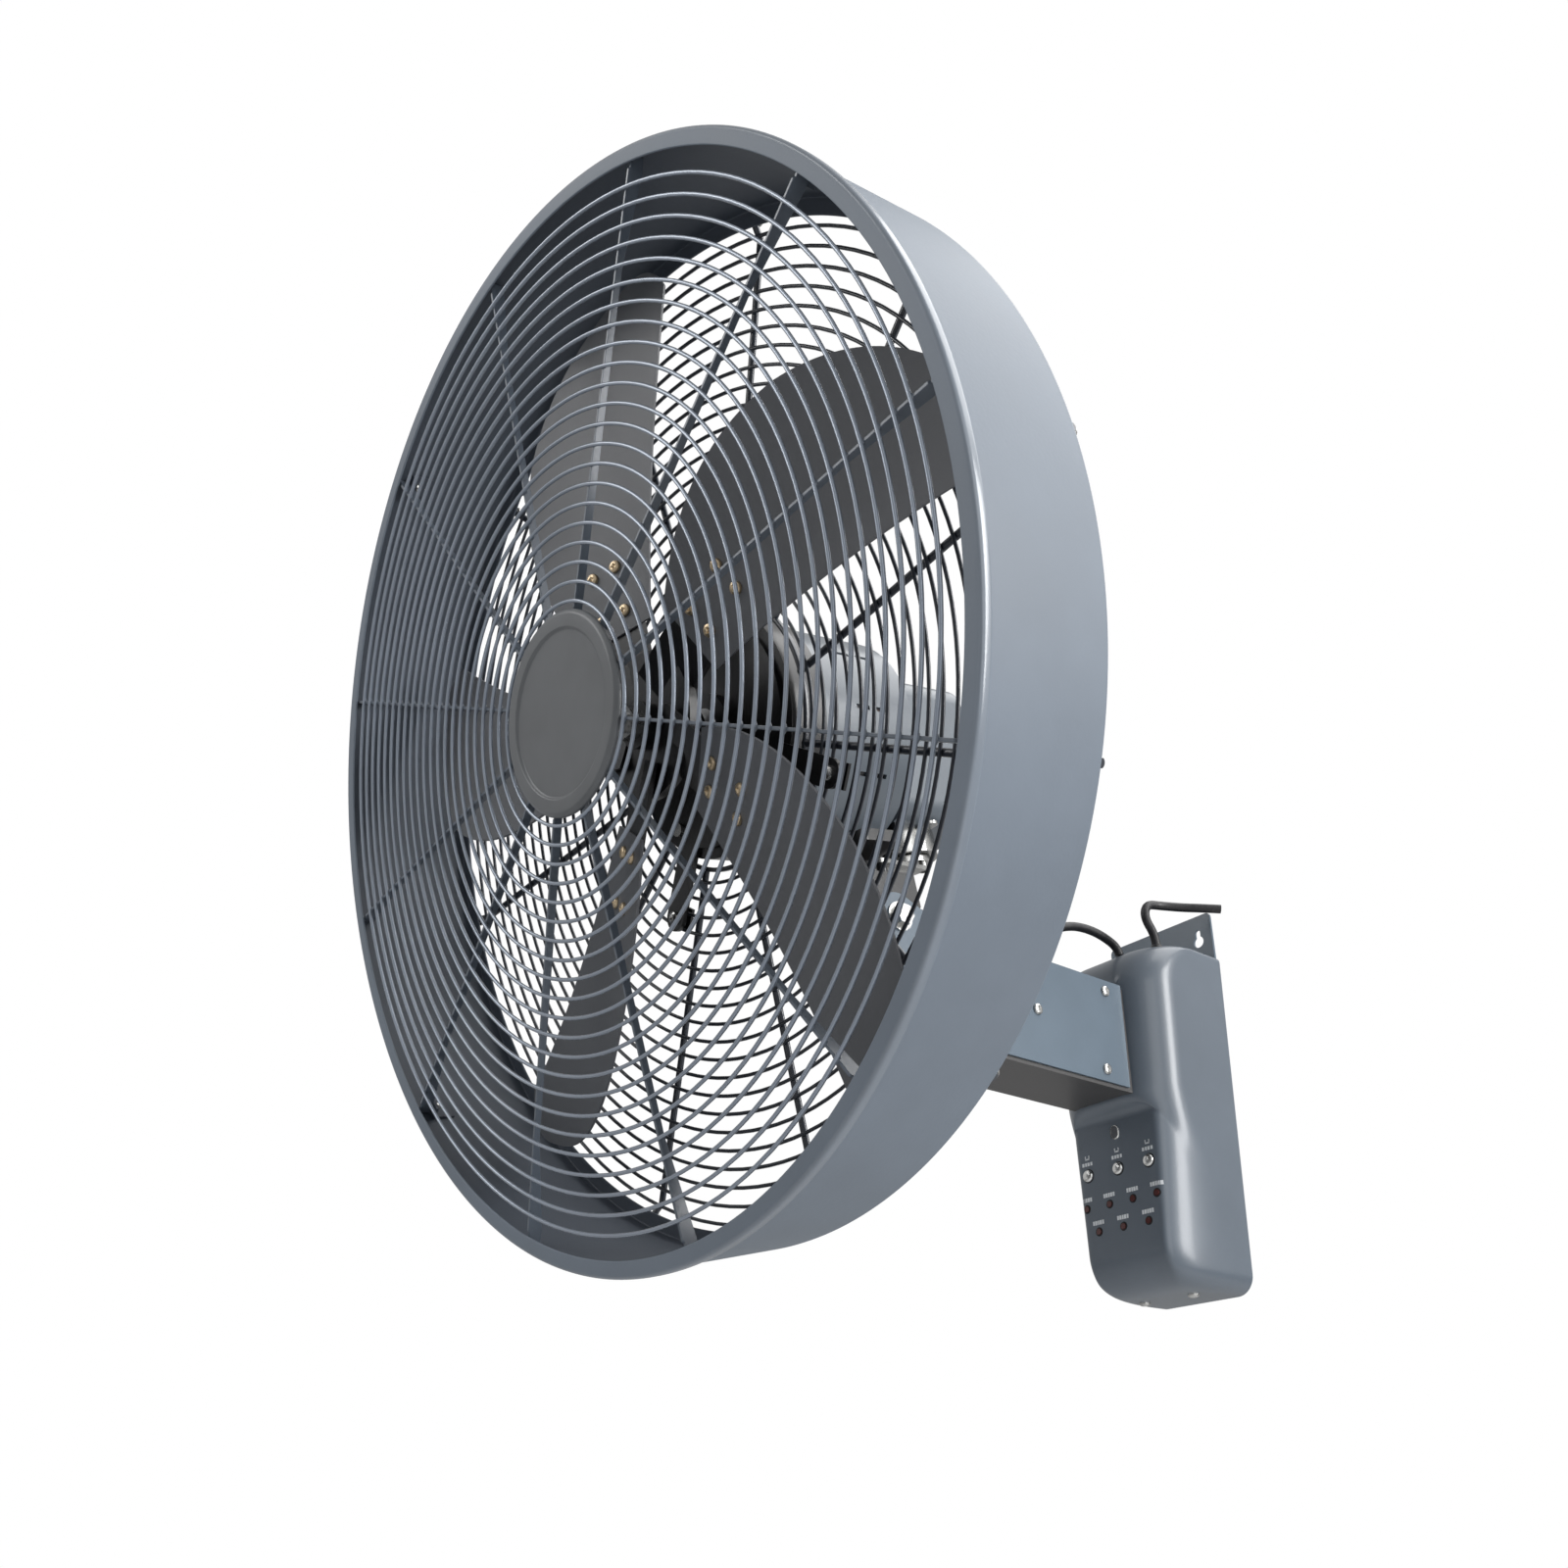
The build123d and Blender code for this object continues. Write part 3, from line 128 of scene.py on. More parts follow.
cords = {
    "diameter": 0.007,
    "supply": [
        (0.030, -0.047, -0.016), (0.030, -0.047, -0.004), (0.0295, -0.058, 0.009),
        (0.029, -0.053, 0.022), (0.031, -0.037, 0.0245), (0.041, -0.022, 0.0235),
        (0.052, -0.0115, 0.022), (0.062, -0.001, 0.0205),
    ],
    "motor": [
        (-0.009, -0.28011, -0.0326), (-0.009, -0.26604, -0.02909), (-0.009, -0.240, -0.0375),
        (-0.009, -0.211, -0.0415), (-0.0085, -0.183, -0.037), (-0.008, -0.157, -0.025),
        (-0.007, -0.133, -0.011), (-0.006, -0.110, 0.0005), (-0.006, -0.088, 0.0045),
        (-0.005, -0.068, 0.0025), (-0.004, -0.050, -0.005), (-0.004, -0.050, -0.016),
    ],
    # Grommets: where they stand, and the radius and height over the box's top of each ring of a sleeve.
    "sleevePlaces": ((0.030, -0.047), (-0.004, -0.050)),
    "sleeve": (
        (0.0060, -0.002), (0.0080, -0.0002), (0.0082, 0.0008), (0.0076, 0.0018),
        (0.0058, 0.0026), (0.0048, 0.0042), (0.0040, 0.0058), (0.0034, 0.0060),
    ),
}


# Shader arithmetic: a wrapped socket that takes part in plain expressions.
class Wire:
    def __init__(self, tree, socket):
        self.tree = tree
        self.socket = socket

    def feed(self, socket):
        self.tree.links.new(self.socket, socket)

    def math(self, operation, *others):
        made = self.tree.nodes.new("ShaderNodeMath")
        made.operation = operation
        for socket, value in zip(made.inputs, (self, *others)):
            give(socket, value)
        return Wire(self.tree, made.outputs[0])

    def __add__(self, other):
        return self.math("ADD", other)

    def __mul__(self, other):
        return self.math("MULTIPLY", other)

    def __rsub__(self, other):
        return (self * -1.0) + other

    __radd__ = __add__
    __rmul__ = __mul__


def give(socket, value):
    if isinstance(value, Wire):
        value.feed(socket)
    else:
        socket.default_value = value


def shaderNode(tree, kind, output=0, settings=None, **inputs):
    made = tree.nodes.new("ShaderNode" + kind)
    for name, value in (settings or {}).items():
        setattr(made, name, value)
    for name, value in inputs.items():
        give(made.inputs[int(name[1:]) if name[0] == "_" else name], value)
    return Wire(tree, made.outputs[output])


def linear(red, green, blue):
    # A screen colour from 0 to 255, as the light it stands for.
    parts = [part / 255 for part in (red, green, blue)]
    light = [part / 12.92 if part < 0.04045 else ((part + 0.055) / 1.055) ** 2.4 for part in parts]
    return (*light, 1.0)


def newMaterial(name):
    material = bpy.data.materials.new(name)
    material.use_nodes = True
    tree = material.node_tree
    surface = tree.nodes["Principled BSDF"]
    place = shaderNode(tree, "TexCoord", output=3)
    return material, tree, surface, place


def noise(tree, place, scale, detail=3.0, roughness=0.5):
    return shaderNode(tree, "TexNoise", Vector=place, Scale=scale, Detail=detail, Roughness=roughness)


def ramp(tree, value, low, high):
    return shaderNode(
        tree, "MapRange", settings={"interpolation_type": "SMOOTHSTEP"}, Value=value, _1=low, _2=high,
    )


def mixColour(tree, share, first, second):
    made = tree.nodes.new("ShaderNodeMix")
    made.data_type = "RGBA"
    give(made.inputs[0], share)
    give(made.inputs[6], first)
    give(made.inputs[7], second)
    return Wire(tree, made.outputs[2])


def bump(tree, height, distance):
    return shaderNode(tree, "Bump", Height=height, Distance=distance)


def vectorMath(tree, operation, *values, output=0):
    inputs = {f"_{index}": value for index, value in enumerate(values)}
    return shaderNode(tree, "VectorMath", output=output, settings={"operation": operation}, **inputs)


def onDrum(tree, place):
    # Two masks: 1 on the inner faces of the sheet between lip and rear flange, where shade is painted, and 1 on
    # the lip's bead.
    axis = tuple(backward)
    fromLip = vectorMath(tree, "SUBTRACT", place, tuple(lipCentre))
    radius = vectorMath(tree, "LENGTH", vectorMath(tree, "CROSS_PRODUCT", fromLip, axis), output=1)
    depth = vectorMath(tree, "DOT_PRODUCT", fromLip, axis, output=1)
    shadedInside = 1.0 - ramp(tree, radius, drum["radius"] - 0.0011, drum["radius"] - 0.0006)
    ahead = 1.0 - ramp(tree, depth, drum["depth"] - 0.0009, drum["depth"] - 0.0004)
    bead = ramp(tree, radius, drum["radius"] + 0.0005, drum["radius"] + 0.0012)
    return shadedInside * ramp(tree, depth, 0.0010, 0.0016) * ahead, bead


def paint(name, colour, roughness=0.34, peel=0.00006, coat=0.25, dust=0.10, metallic=0.0, inner=None):
    # Stoved paint: orange peel in the surface, faint cloudiness, and dust that settles on what faces up.
    # The drum's inner faces take a darker colour that is painted shade, and the bead of its lip is glossier.
    material, tree, surface, place = newMaterial(name)
    cloud = noise(tree, place, 9.0, 4.0, 0.55)
    speck = noise(tree, place, 900.0, 2.0, 0.6)
    peelWave = noise(tree, place, 420.0, 2.0, 0.4)
    facing = shaderNode(tree, "SeparateXYZ", output=2, _0=shaderNode(tree, "NewGeometry", output=1))
    settled = ramp(tree, facing + cloud * 0.5, 0.85, 1.45)
    pale = tuple(0.5 * part + 0.16 for part in colour[:3]) + (1.0,)
    deep = tuple(0.86 * part for part in colour[:3]) + (1.0,)
    tone = mixColour(tree, ramp(tree, cloud, 0.3, 0.72), deep, colour)
    tone = mixColour(tree, ramp(tree, speck, 0.62, 0.80) * 0.22, tone, pale)
    surface.inputs["Coat Weight"].default_value = coat
    if inner:
        shadedInside, bead = onDrum(tree, place)
        # Painted shade: the drum's inner faces turn to the darker inner colour.
        tone = mixColour(tree, shadedInside, tone, inner)
        give(surface.inputs["Coat Weight"], bead * 0.9)
    give(surface.inputs["Base Color"], mixColour(tree, settled * dust, tone, pale))
    give(surface.inputs["Roughness"], cloud * 0.14 + speck * 0.08 + settled * 0.12 + (roughness - 0.11))
    surface.inputs["Metallic"].default_value = metallic
    surface.inputs["Coat Roughness"].default_value = 0.18
    give(surface.inputs["Normal"], bump(tree, peelWave + speck * 0.25, peel))
    return material


def steel(name, colour, roughness=0.22, scratch=0.00003):
    # Plated or turned metal: fine crossed scratches and darker stains in the plating.
    material, tree, surface, place = newMaterial(name)
    stretched = shaderNode(
        tree, "Mapping", Vector=place, Scale=(900.0, 120.0, 900.0), Rotation=(0.3, 0.2, 0.5),
    )
    lines = noise(tree, stretched, 3.0, 4.0, 0.7)
    stain = noise(tree, place, 160.0, 4.0, 0.6)
    dark = tuple(0.62 * part for part in colour[:3]) + (1.0,)
    tone = mixColour(tree, ramp(tree, stain, 0.42, 0.70) * 0.7, colour, dark)
    give(surface.inputs["Base Color"], tone)
    give(surface.inputs["Roughness"], lines * 0.16 + stain * 0.14 + (roughness - 0.12))
    surface.inputs["Metallic"].default_value = 1.0
    give(surface.inputs["Normal"], bump(tree, lines, scratch))
    return material


def plastic(name, colour, roughness=0.42, coat=0.0):
    # Moulded plastic: a fine eroded grain and slight unevenness of gloss.
    material, tree, surface, place = newMaterial(name)
    grainWave = noise(tree, place, 1400.0, 3.0, 0.65)
    flow = noise(tree, place, 24.0, 3.0, 0.5)
    deep = tuple(0.84 * part for part in colour[:3]) + (1.0,)
    give(surface.inputs["Base Color"], mixColour(tree, ramp(tree, flow, 0.3, 0.7), deep, colour))
    give(surface.inputs["Roughness"], flow * 0.12 + grainWave * 0.10 + (roughness - 0.10))
    surface.inputs["Coat Weight"].default_value = coat
    surface.inputs["Coat Roughness"].default_value = 0.12
    give(surface.inputs["Normal"], bump(tree, grainWave, 0.00004))
    return material


def windings(name):
    # Enamelled copper wire, wound round and round.
    material, tree, surface, place = newMaterial(name)
    turns = shaderNode(tree, "TexWave", output=1, Vector=place, Scale=300.0, Distortion=1.5, Detail=1.0)
    give(surface.inputs["Base Color"], mixColour(tree, turns, linear(96, 44, 20), linear(176, 98, 52)))
    give(surface.inputs["Roughness"], turns * 0.2 + 0.25)
    surface.inputs["Metallic"].default_value = 0.6
    give(surface.inputs["Normal"], bump(tree, turns, 0.0004))
    return material


def lamination(name):
    # Stacked sheet steel: fine lines along the depth of the motor.
    material, tree, surface, place = newMaterial(name)
    along = vectorMath(tree, "DOT_PRODUCT", place, tuple(backward), output=1)
    sheets = (along * 6283.0).math("SINE") * 0.5 + 0.5
    rust = noise(tree, place, 60.0, 4.0, 0.6)
    tone = mixColour(tree, ramp(tree, rust, 0.45, 0.75), linear(92, 92, 94), linear(88, 66, 52))
    give(surface.inputs["Base Color"], tone)
    give(surface.inputs["Roughness"], rust * 0.3 + 0.35)
    surface.inputs["Metallic"].default_value = 0.8
    give(surface.inputs["Normal"], bump(tree, sheets, 0.0002))
    return material


def lens(name, colour, roughness=0.12):
    # Dark tinted lens, glossy, with a little dust.
    material, tree, surface, place = newMaterial(name)
    dust = noise(tree, place, 700.0, 3.0, 0.6)
    pale = tuple(0.6 * part + 0.12 for part in colour[:3]) + (1.0,)
    give(surface.inputs["Base Color"], mixColour(tree, ramp(tree, dust, 0.6, 0.8) * 0.5, colour, pale))
    give(surface.inputs["Roughness"], dust * 0.15 + roughness)
    surface.inputs["Coat Weight"].default_value = 0.6
    surface.inputs["Coat Roughness"].default_value = 0.05
    return material


def cable(name):
    # Black cord sheath: extrusion lines are too fine to see, so only a soft mottled sheen and scuffs.
    material, tree, surface, place = newMaterial(name)
    scuff = noise(tree, place, 220.0, 4.0, 0.7)
    tone = mixColour(tree, ramp(tree, scuff, 0.5, 0.78), linear(24, 24, 27), linear(52, 52, 56))
    give(surface.inputs["Base Color"], tone)
    give(surface.inputs["Roughness"], scuff * 0.3 + 0.32)
    give(surface.inputs["Normal"], bump(tree, scuff, 0.00008))
    return material


looks = {
    "drum_paint": paint(
        # The inner colour is painted shade on the drum's inside.
        "drum_paint", linear(116, 126, 138), roughness=0.52, coat=0.0, inner=linear(74, 81, 91),
    ),
    "arm_paint": paint("arm_paint", linear(92, 108, 122), roughness=0.32),
    "motor_paint": paint("motor_paint", linear(98, 106, 114), roughness=0.34),
    "guard_paint": paint(
        "guard_paint", linear(148, 158, 172), roughness=0.24, coat=0.6, dust=0.05, metallic=0.35,
    ),
    "blade_paint": paint("blade_paint", linear(103, 105, 109), roughness=0.42, coat=0.1, dust=0.05),
    "black_paint": paint("black_paint", linear(17, 17, 19), roughness=0.36, coat=0.15, dust=0.03),
    "box_plastic": paint("box_plastic", linear(94, 104, 115), roughness=0.38, peel=0.00003, coat=0.4),
    "badge_plastic": plastic("badge_plastic", linear(98, 101, 104), roughness=0.40, coat=0.1),
    "black_plastic": plastic("black_plastic", linear(30, 30, 33)),
    "bearing_plastic": plastic("bearing_plastic", linear(214, 210, 200)),
    "rubber_black": cable("rubber_black"),
    "screw_steel": steel("screw_steel", linear(196, 196, 194)),
    "bearing_steel": steel("bearing_steel", linear(180, 180, 180), roughness=0.28),
    "core_steel": lamination("core_steel"),
    "copper": windings("copper"),
    "brass_screw": steel("brass_screw", linear(226, 204, 170), roughness=0.30),
    "button_chrome": steel(
        "button_chrome", linear(226, 226, 224), roughness=0.15, scratch=0.00001,
    ),
    "led_lens": lens("led_lens", linear(74, 24, 21)),
    "ir_lens": lens("ir_lens", linear(86, 88, 92), roughness=0.16),
    "board": plastic("board", linear(38, 92, 58), roughness=0.35),
}
channelPaint = paint("channel_paint", linear(66, 65, 65), roughness=0.42, coat=0.1)
# Painted shade: a darker copy of the guard paint, for the shaded sides of the front guard's ribs and for its
# centre plate.
ribShadePaint = paint("rib_painted_shade", linear(92, 101, 112), roughness=0.34, coat=0.3, dust=0.05)
# Painted shade: a darker copy of the guard paint, for the rear guard's wires, which stand against the light.
rearGuardShadePaint = paint("rear_guard_painted_shade", linear(44, 49, 58), roughness=0.30, coat=0.3, dust=0.05)
printedMarks = plastic("printed_marks", linear(232, 236, 240), roughness=0.5)
# Painted shade for the recesses round the panel's buttons and lights.
gapShadePaint = plastic("gap_painted_shade", linear(16, 17, 19), roughness=0.7)
print("materials made")


# Mesh making: pieces are grids of two parameters, joined into one mesh a piece.
class Shape:
    def __init__(self):
        self.points = []
        self.faces = []
        self.count = 0

    def add(self, points, faces):
        points = np.asarray(points, float).reshape(-1, 3)
        self.points.append(points)
        self.faces += [tuple(self.count + corner for corner in face) for face in faces]
        self.count += len(points)

    def grid(self, points, closeRows=False, closeColumns=False, capRows=False):
        # points[row, column]; capRows closes the first and last row with one face each.
        rows, columns = points.shape[:2]
        faces = []
        for row in range(rows if closeRows else rows - 1):
            after = (row + 1) % rows
            for column in range(columns if closeColumns else columns - 1):
                beside = (column + 1) % columns
                faces.append((
                    row * columns + column, row * columns + beside,
                    after * columns + beside, after * columns + column,
                ))
        if capRows:
            faces.append(tuple(range(columns - 1, -1, -1)))
            faces.append(tuple((rows - 1) * columns + column for column in range(columns)))
        self.add(points, faces)

    def piece(self, name, body, look, replaces=(), angle=40.0, bevel=0.0, material=None, weld=False):
        mesh = bpy.data.meshes.new(name)
        mesh.from_pydata(np.concatenate(self.points).tolist(), [], self.faces)
        mesh.validate()
        mesh.materials.append(material or looks[look])
        made = bpy.data.objects.new(name, mesh)
        scene.collection.objects.link(made)
        outward(mesh, weld)
        smooth(made, angle, bevel)
        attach(made, body)
        if replaces:
            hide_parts(*replaces)
        return made


def outward(mesh, weld=False):
    # Normals face outward; where asked, edges that lie on each other become one.
    work = bmesh.new()
    work.from_mesh(mesh)
    if weld:
        bmesh.ops.remove_doubles(work, verts=work.verts, dist=weldReach)
    bmesh.ops.recalc_face_normals(work, faces=work.faces)
    work.to_mesh(mesh)
    work.free()


def smooth(made, angle, bevel=0.0):
    # Shades smoothly across edges flatter than the angle; a bevel eases the sharper ones.
    made.data.set_sharp_from_angle(angle=radians(angle))
    made.data.polygons.foreach_set("use_smooth", [True] * len(made.data.polygons))
    if bevel:
        rounding = made.modifiers.new("rounding", "BEVEL")
        rounding.width = bevel
        rounding.segments = 2
        rounding.limit_method = "ANGLE"
        rounding.angle_limit = radians(sharpEdge)
        rounding.harden_normals = True


def headPoints(across, depth, height):
    across, depth, height = np.broadcast_arrays(across, depth, height)
    return (
        lipCentre + across[..., None] * rightward + depth[..., None] * backward
        + height[..., None] * upright
    )


def wheelPoints(radius, angle, depth):
    # Places on the fan by radius, angle in degrees and depth.
    turn = np.radians(angle)
    return headPoints(radius * np.cos(turn), depth, radius * np.sin(turn))


def roundedLoop(corners, radii, steps=5):
    # Closed outline with rounded corners: each is a blend of its two tangent points and the corner,
    # which weigh (1 - share) squared, share squared and twice their product.
    corners = [np.array(corner, float) for corner in corners]
    befores = corners[-1:] + corners[:-1]
    afters = corners[1:] + corners[:1]
    made = []
    for before, corner, after, radius in zip(befores, corners, afters, radii):
        first = before - corner
        second = after - corner
        firstLength = np.linalg.norm(first)
        secondLength = np.linalg.norm(second)
        first /= firstLength
        second /= secondLength
        half = np.arccos(np.clip(first @ second, -1, 1)) / 2
        reach = min(radius / tan(half), 0.49 * firstLength, 0.49 * secondLength) if radius else 0
        if reach < 1e-6:
            made.append(corner)
            continue
        for share in np.linspace(0, 1, steps + 1):
            a = corner + first * reach
            b = corner + second * reach
            made.append((1 - share) ** 2 * a + 2 * share * (1 - share) * corner + share ** 2 * b)
    return np.array(made)


def lathe(shape, outline, segments=180):
    # outline holds (radius, depth) round a closed section, turned about the fan axis.
    angles = np.linspace(0, 360, segments // fineness, endpoint=False)[None, :]
    shape.grid(wheelPoints(outline[:, None, 0], angles, outline[:, None, 1]), True, True)


def torus(shape, radius, depth, wireRadius, segments=150):
    # A wire ring: circles of eight points, each set out along the ring's radius and the fan's depth.
    angles = np.linspace(0, 360, segments // fineness, endpoint=False)[:, None]
    around = np.radians(np.linspace(0, 360, 8, endpoint=False))[None, :]
    places = radius + wireRadius * np.cos(around)
    shape.grid(wheelPoints(places, angles, depth + wireRadius * np.sin(around)), True, True)


def tube(shape, route, radii, flatten=1.0, sides=10):
    # Bar along a route: its sections are ellipses, cos(turn) of the first direction and a share of
    # sin(turn) of the second, both square to the route.
    route = np.asarray(route, float)
    along = np.gradient(route, axis=0)
    along /= np.linalg.norm(along, axis=1)[:, None]
    reference = backward if abs(along[0] @ backward) < 0.8 else upright
    second = np.cross(along, np.cross(reference, along))
    second /= np.linalg.norm(second, axis=1)[:, None]
    first = np.cross(along, second)
    turn = np.radians(np.linspace(0, 360, sides, endpoint=False))
    radii = np.broadcast_to(radii, len(route))[:, None, None]
    wide = np.cos(turn)[None, :, None] * first[:, None, :]
    high = flatten * np.sin(turn)[None, :, None] * second[:, None, :]
    shape.grid(route[:, None, :] + radii * (wide + high), False, True, capRows=True)


def plate(shape, outline, placing, thick):
    # Flat plate: placing turns (u, v, w) into a place, w across its thickness.
    outline = np.asarray(outline, float)
    levels = np.array([-thick / 2, thick / 2])
    points = placing(outline[None, :, 0], outline[None, :, 1], levels[:, None])
    shape.grid(points, False, True, capRows=True)


def crown(radius):
    # Depth of the front wires: a cone from the innermost ring to the outermost.
    last = guard["firstRing"] + guard["pitch"] * (guard["rings"] - 1)
    share = (radius - guard["firstRing"]) / (last - guard["firstRing"])
    return -guard["crown"] + (guard["crown"] - guard["edge"]) * share


def dish(radius):
    # Depth of the rear wires: a cone from the hoop to the drum's rear opening.
    share = (radius - rearGuard["rodStart"]) / (drum["rearOpening"] - rearGuard["rodStart"])
    return rearGuard["dish"] - (rearGuard["dish"] - rearGuard["rim"]) * share


def makeDrum():
    # One sheet turned about the fan axis: the lip with its bead, the tube, and the rear flange.
    shape = Shape()
    sheet = drum["sheet"]
    outer = drum["radius"]
    inner = outer - sheet
    rear = drum["depth"]
    corners = [
        (drum["lipRadius"], 0.0), (outer + drum["bead"], 0.0), (outer + drum["bead"], drum["beadDepth"]),
        (outer, drum["beadDepth"] + drum["bead"]), (outer, rear), (drum["rearOpening"], rear),
        (drum["rearOpening"], rear - sheet), (inner, rear - sheet), (inner, sheet),
        (drum["lipRadius"], sheet),
    ]
    rounding = (0.0007, 0.0028, 0.0015, 0.002, 0.0022, 0.0004, 0.0004, 0.001, 0.001, 0.0007)
    lathe(shape, roundedLoop(corners, rounding), 300)
    shape.piece("drum_skin", "swing_head", "drum_paint", ["drum_shroud"], angle=50)


def makeFrontGuard():
    # Wire rings on a cone, upright ribs of sheet behind them, and the plate that the badge sits on.
    shape = Shape()
    for number in range(guard["rings"]):
        radius = guard["firstRing"] + guard["pitch"] * number
        torus(shape, radius, crown(radius) + guard["wireRadius"], guard["wireRadius"])
    shape.piece("front_guard_rings", "swing_head", "guard_paint", ["front_guard"], angle=80)
    ribs = Shape()
    badgeBack = badge["thick"] - badge["front"]
    weld = 2 * guard["wireRadius"] - 0.0005
    shelf = guard["outerRib"] + guard["edge"]
    inner = drum["radius"] - drum["sheet"] - 0.0003
    lip = drum["lipRadius"]
    behindLip = drum["sheet"] + 0.001
    outline = [
        (guard["ribStart"], badgeBack), (badge["radius"], badgeBack),
        (badge["radius"] + 0.001, crown(badge["radius"]) + weld),
        (lip - 0.003, crown(lip) + weld), (lip - 0.002, behindLip),
        (inner, behindLip), (inner, shelf), (lip - 0.004, shelf),
        (guard["ribWaist"], crown(guard["ribWaist"]) + weld + guard["waistDepth"]),
        (guard["ribStart"], badgeBack + guard["innerRib"]),
    ]
    for number in range(guard["ribs"]):
        angle = radians(guard["ribTurn"] + 30.0 * number)
        outwardRib = np.array([cos(angle), sin(angle)])
        sideways = np.array([-sin(angle), cos(angle)])

        def placing(radius, depth, aside):
            across = radius * outwardRib[0] + aside * sideways[0]
            height = radius * outwardRib[1] + aside * sideways[1]
            return headPoints(across, depth, height)

        plate(ribs, outline, placing, guard["ribSheet"])
    # Weld beads where every wire crosses a rib: short bars along the wire, swelling in the middle.
    # Their half length is in degrees times metres, so that it stays the same at every radius.
    for number in range(guard["rings"]):
        radius = guard["firstRing"] + guard["pitch"] * number
        reach = np.array([-1.0, -0.5, 0.0, 0.5, 1.0]) * (guard["weldHalfLength"] / radius)
        depth = crown(radius) + 2 * guard["wireRadius"] - 0.0002
        for rib in range(guard["ribs"]):
            angle = guard["ribTurn"] + 30.0 * rib + reach
            tube(ribs, wheelPoints(radius, angle, depth), guard["weldRadii"], sides=6)
    ribs.piece(
        "front_guard_ribs", "swing_head", "guard_paint", angle=50, bevel=0.0003, material=ribShadePaint,
    )
    centre = Shape()
    front = badgeBack + 0.0001
    back = badgeBack + guard["centreThick"]
    wide = guard["centreRadius"]
    corners = [(0.0005, front), (wide, front), (wide, back), (0.0005, back)]
    lathe(centre, roundedLoop(corners, (0, 0.0004, 0.0006, 0)), 96)
    centre.piece("guard_centre_plate", "swing_head", "guard_paint", angle=40, material=ribShadePaint)


def makeBadge():
    # A turned disc: a flat face, sunk a little within a rounded rim.
    shape = Shape()
    front = -badge["front"]
    outline = roundedLoop(
        [
            (0.0002, front + badge["rim"]), (badge["flat"], front + badge["rim"]),
            (badge["flat"] + 0.0015, front + 0.0001), (badge["radius"] - 0.0025, front),
            (badge["radius"], front + 0.002), (badge["radius"], front + badge["thick"]),
            (0.0002, front + badge["thick"]),
        ],
        (0, 0.0016, 0.0012, 0.0028, 0.0018, 0.0006, 0),
        steps=6,
    )
    lathe(shape, outline, 192)
    shape.piece("badge_disc", "swing_head", "badge_plastic", ["badge"], angle=50)


def makeRearGuard():
    # Wire rings inside twelve rods, which kink forward onto the drum's rear flange.
    shape = Shape()
    for number in range(rearGuard["rings"]):
        radius = rearGuard["firstRing"] + guard["pitch"] * number
        depth = dish(radius) - guard["wireRadius"] + 0.0005
        torus(shape, radius, depth, guard["wireRadius"], segments=130)
    shape.piece(
        "rear_guard_rings", "swing_head", "guard_paint", ["rear_guard"], angle=80,
        material=rearGuardShadePaint,
    )
    rods = Shape()
    thick = rearGuard["rodThick"]
    start = rearGuard["rodStart"]
    end = rearGuard["screwCircle"] + 0.004
    radii = np.array([start, 0.16, 0.24, 0.300, 0.3065, 0.3095, 0.3125, 0.3150, end])
    kinked = radii >= rearGuard["rodKink"]
    depths = np.where(kinked, drum["depth"], dish(radii)) + thick / 2
    depths[np.argmax(kinked)] = drum["depth"] + thick / 2 + 0.0022
    for number in range(guard["ribs"]):
        angle = guard["ribTurn"] + 30.0 * number
        tube(rods, wheelPoints(radii, angle, depths), rearGuard["rodWidth"] / 2, flatten=0.8, sides=12)
    hoop = start + rearGuard["hoop"]
    corners = [
        (start, dish(start)), (hoop, dish(start)), (hoop, dish(start) + thick),
        (start, dish(start) + thick),
    ]
    lathe(rods, roundedLoop(corners, (0.0012,) * 4), 120)
    rods.piece("rear_guard_rods", "swing_head", "guard_paint", angle=60, material=rearGuardShadePaint)


def bladeBend(across):
    # The blades are bent on one arc: depth and the direction square to the sheet, by distance across.
    pitch = radians(blade["pitch"])
    bendRadius = (blade["chord"] ** 2 / 4 + blade["camber"] ** 2) / (2 * blade["camber"])
    middle = blade["midOffset"] + sin(pitch) * (blade["camber"] - bendRadius)
    centre = blade["midDepth"] + cos(pitch) * (blade["camber"] - bendRadius)
    turnSide = (across - middle) / bendRadius
    turnBack = np.sqrt(1 - turnSide ** 2)
    return centre + bendRadius * turnBack, turnSide, turnBack


def bladePlace(angle, along, across, behindSheet=0.0):
    # A place on the blade at this angle, by the distances along it, across it and behind its front.
    depth, turnSide, turnBack = bladeBend(across)
    turn = radians(angle)
    aside = across + behindSheet * turnSide
    return headPoints(
        along * cos(turn) - aside * sin(turn), depth + behindSheet * turnBack,
        along * sin(turn) + aside * cos(turn),
    )


def threePointArc(first, middle, last, count):
    # Quadratic curve through three points: close to the arc that the sheet is cut along.
    share = np.linspace(0, 1, count)[:, None]
    first, middle, last = (np.array(point, float) for point in (first, middle, last))
    control = 2 * middle - 0.5 * (first + last)
    return (1 - share) ** 2 * first + 2 * share * (1 - share) * control + share ** 2 * last


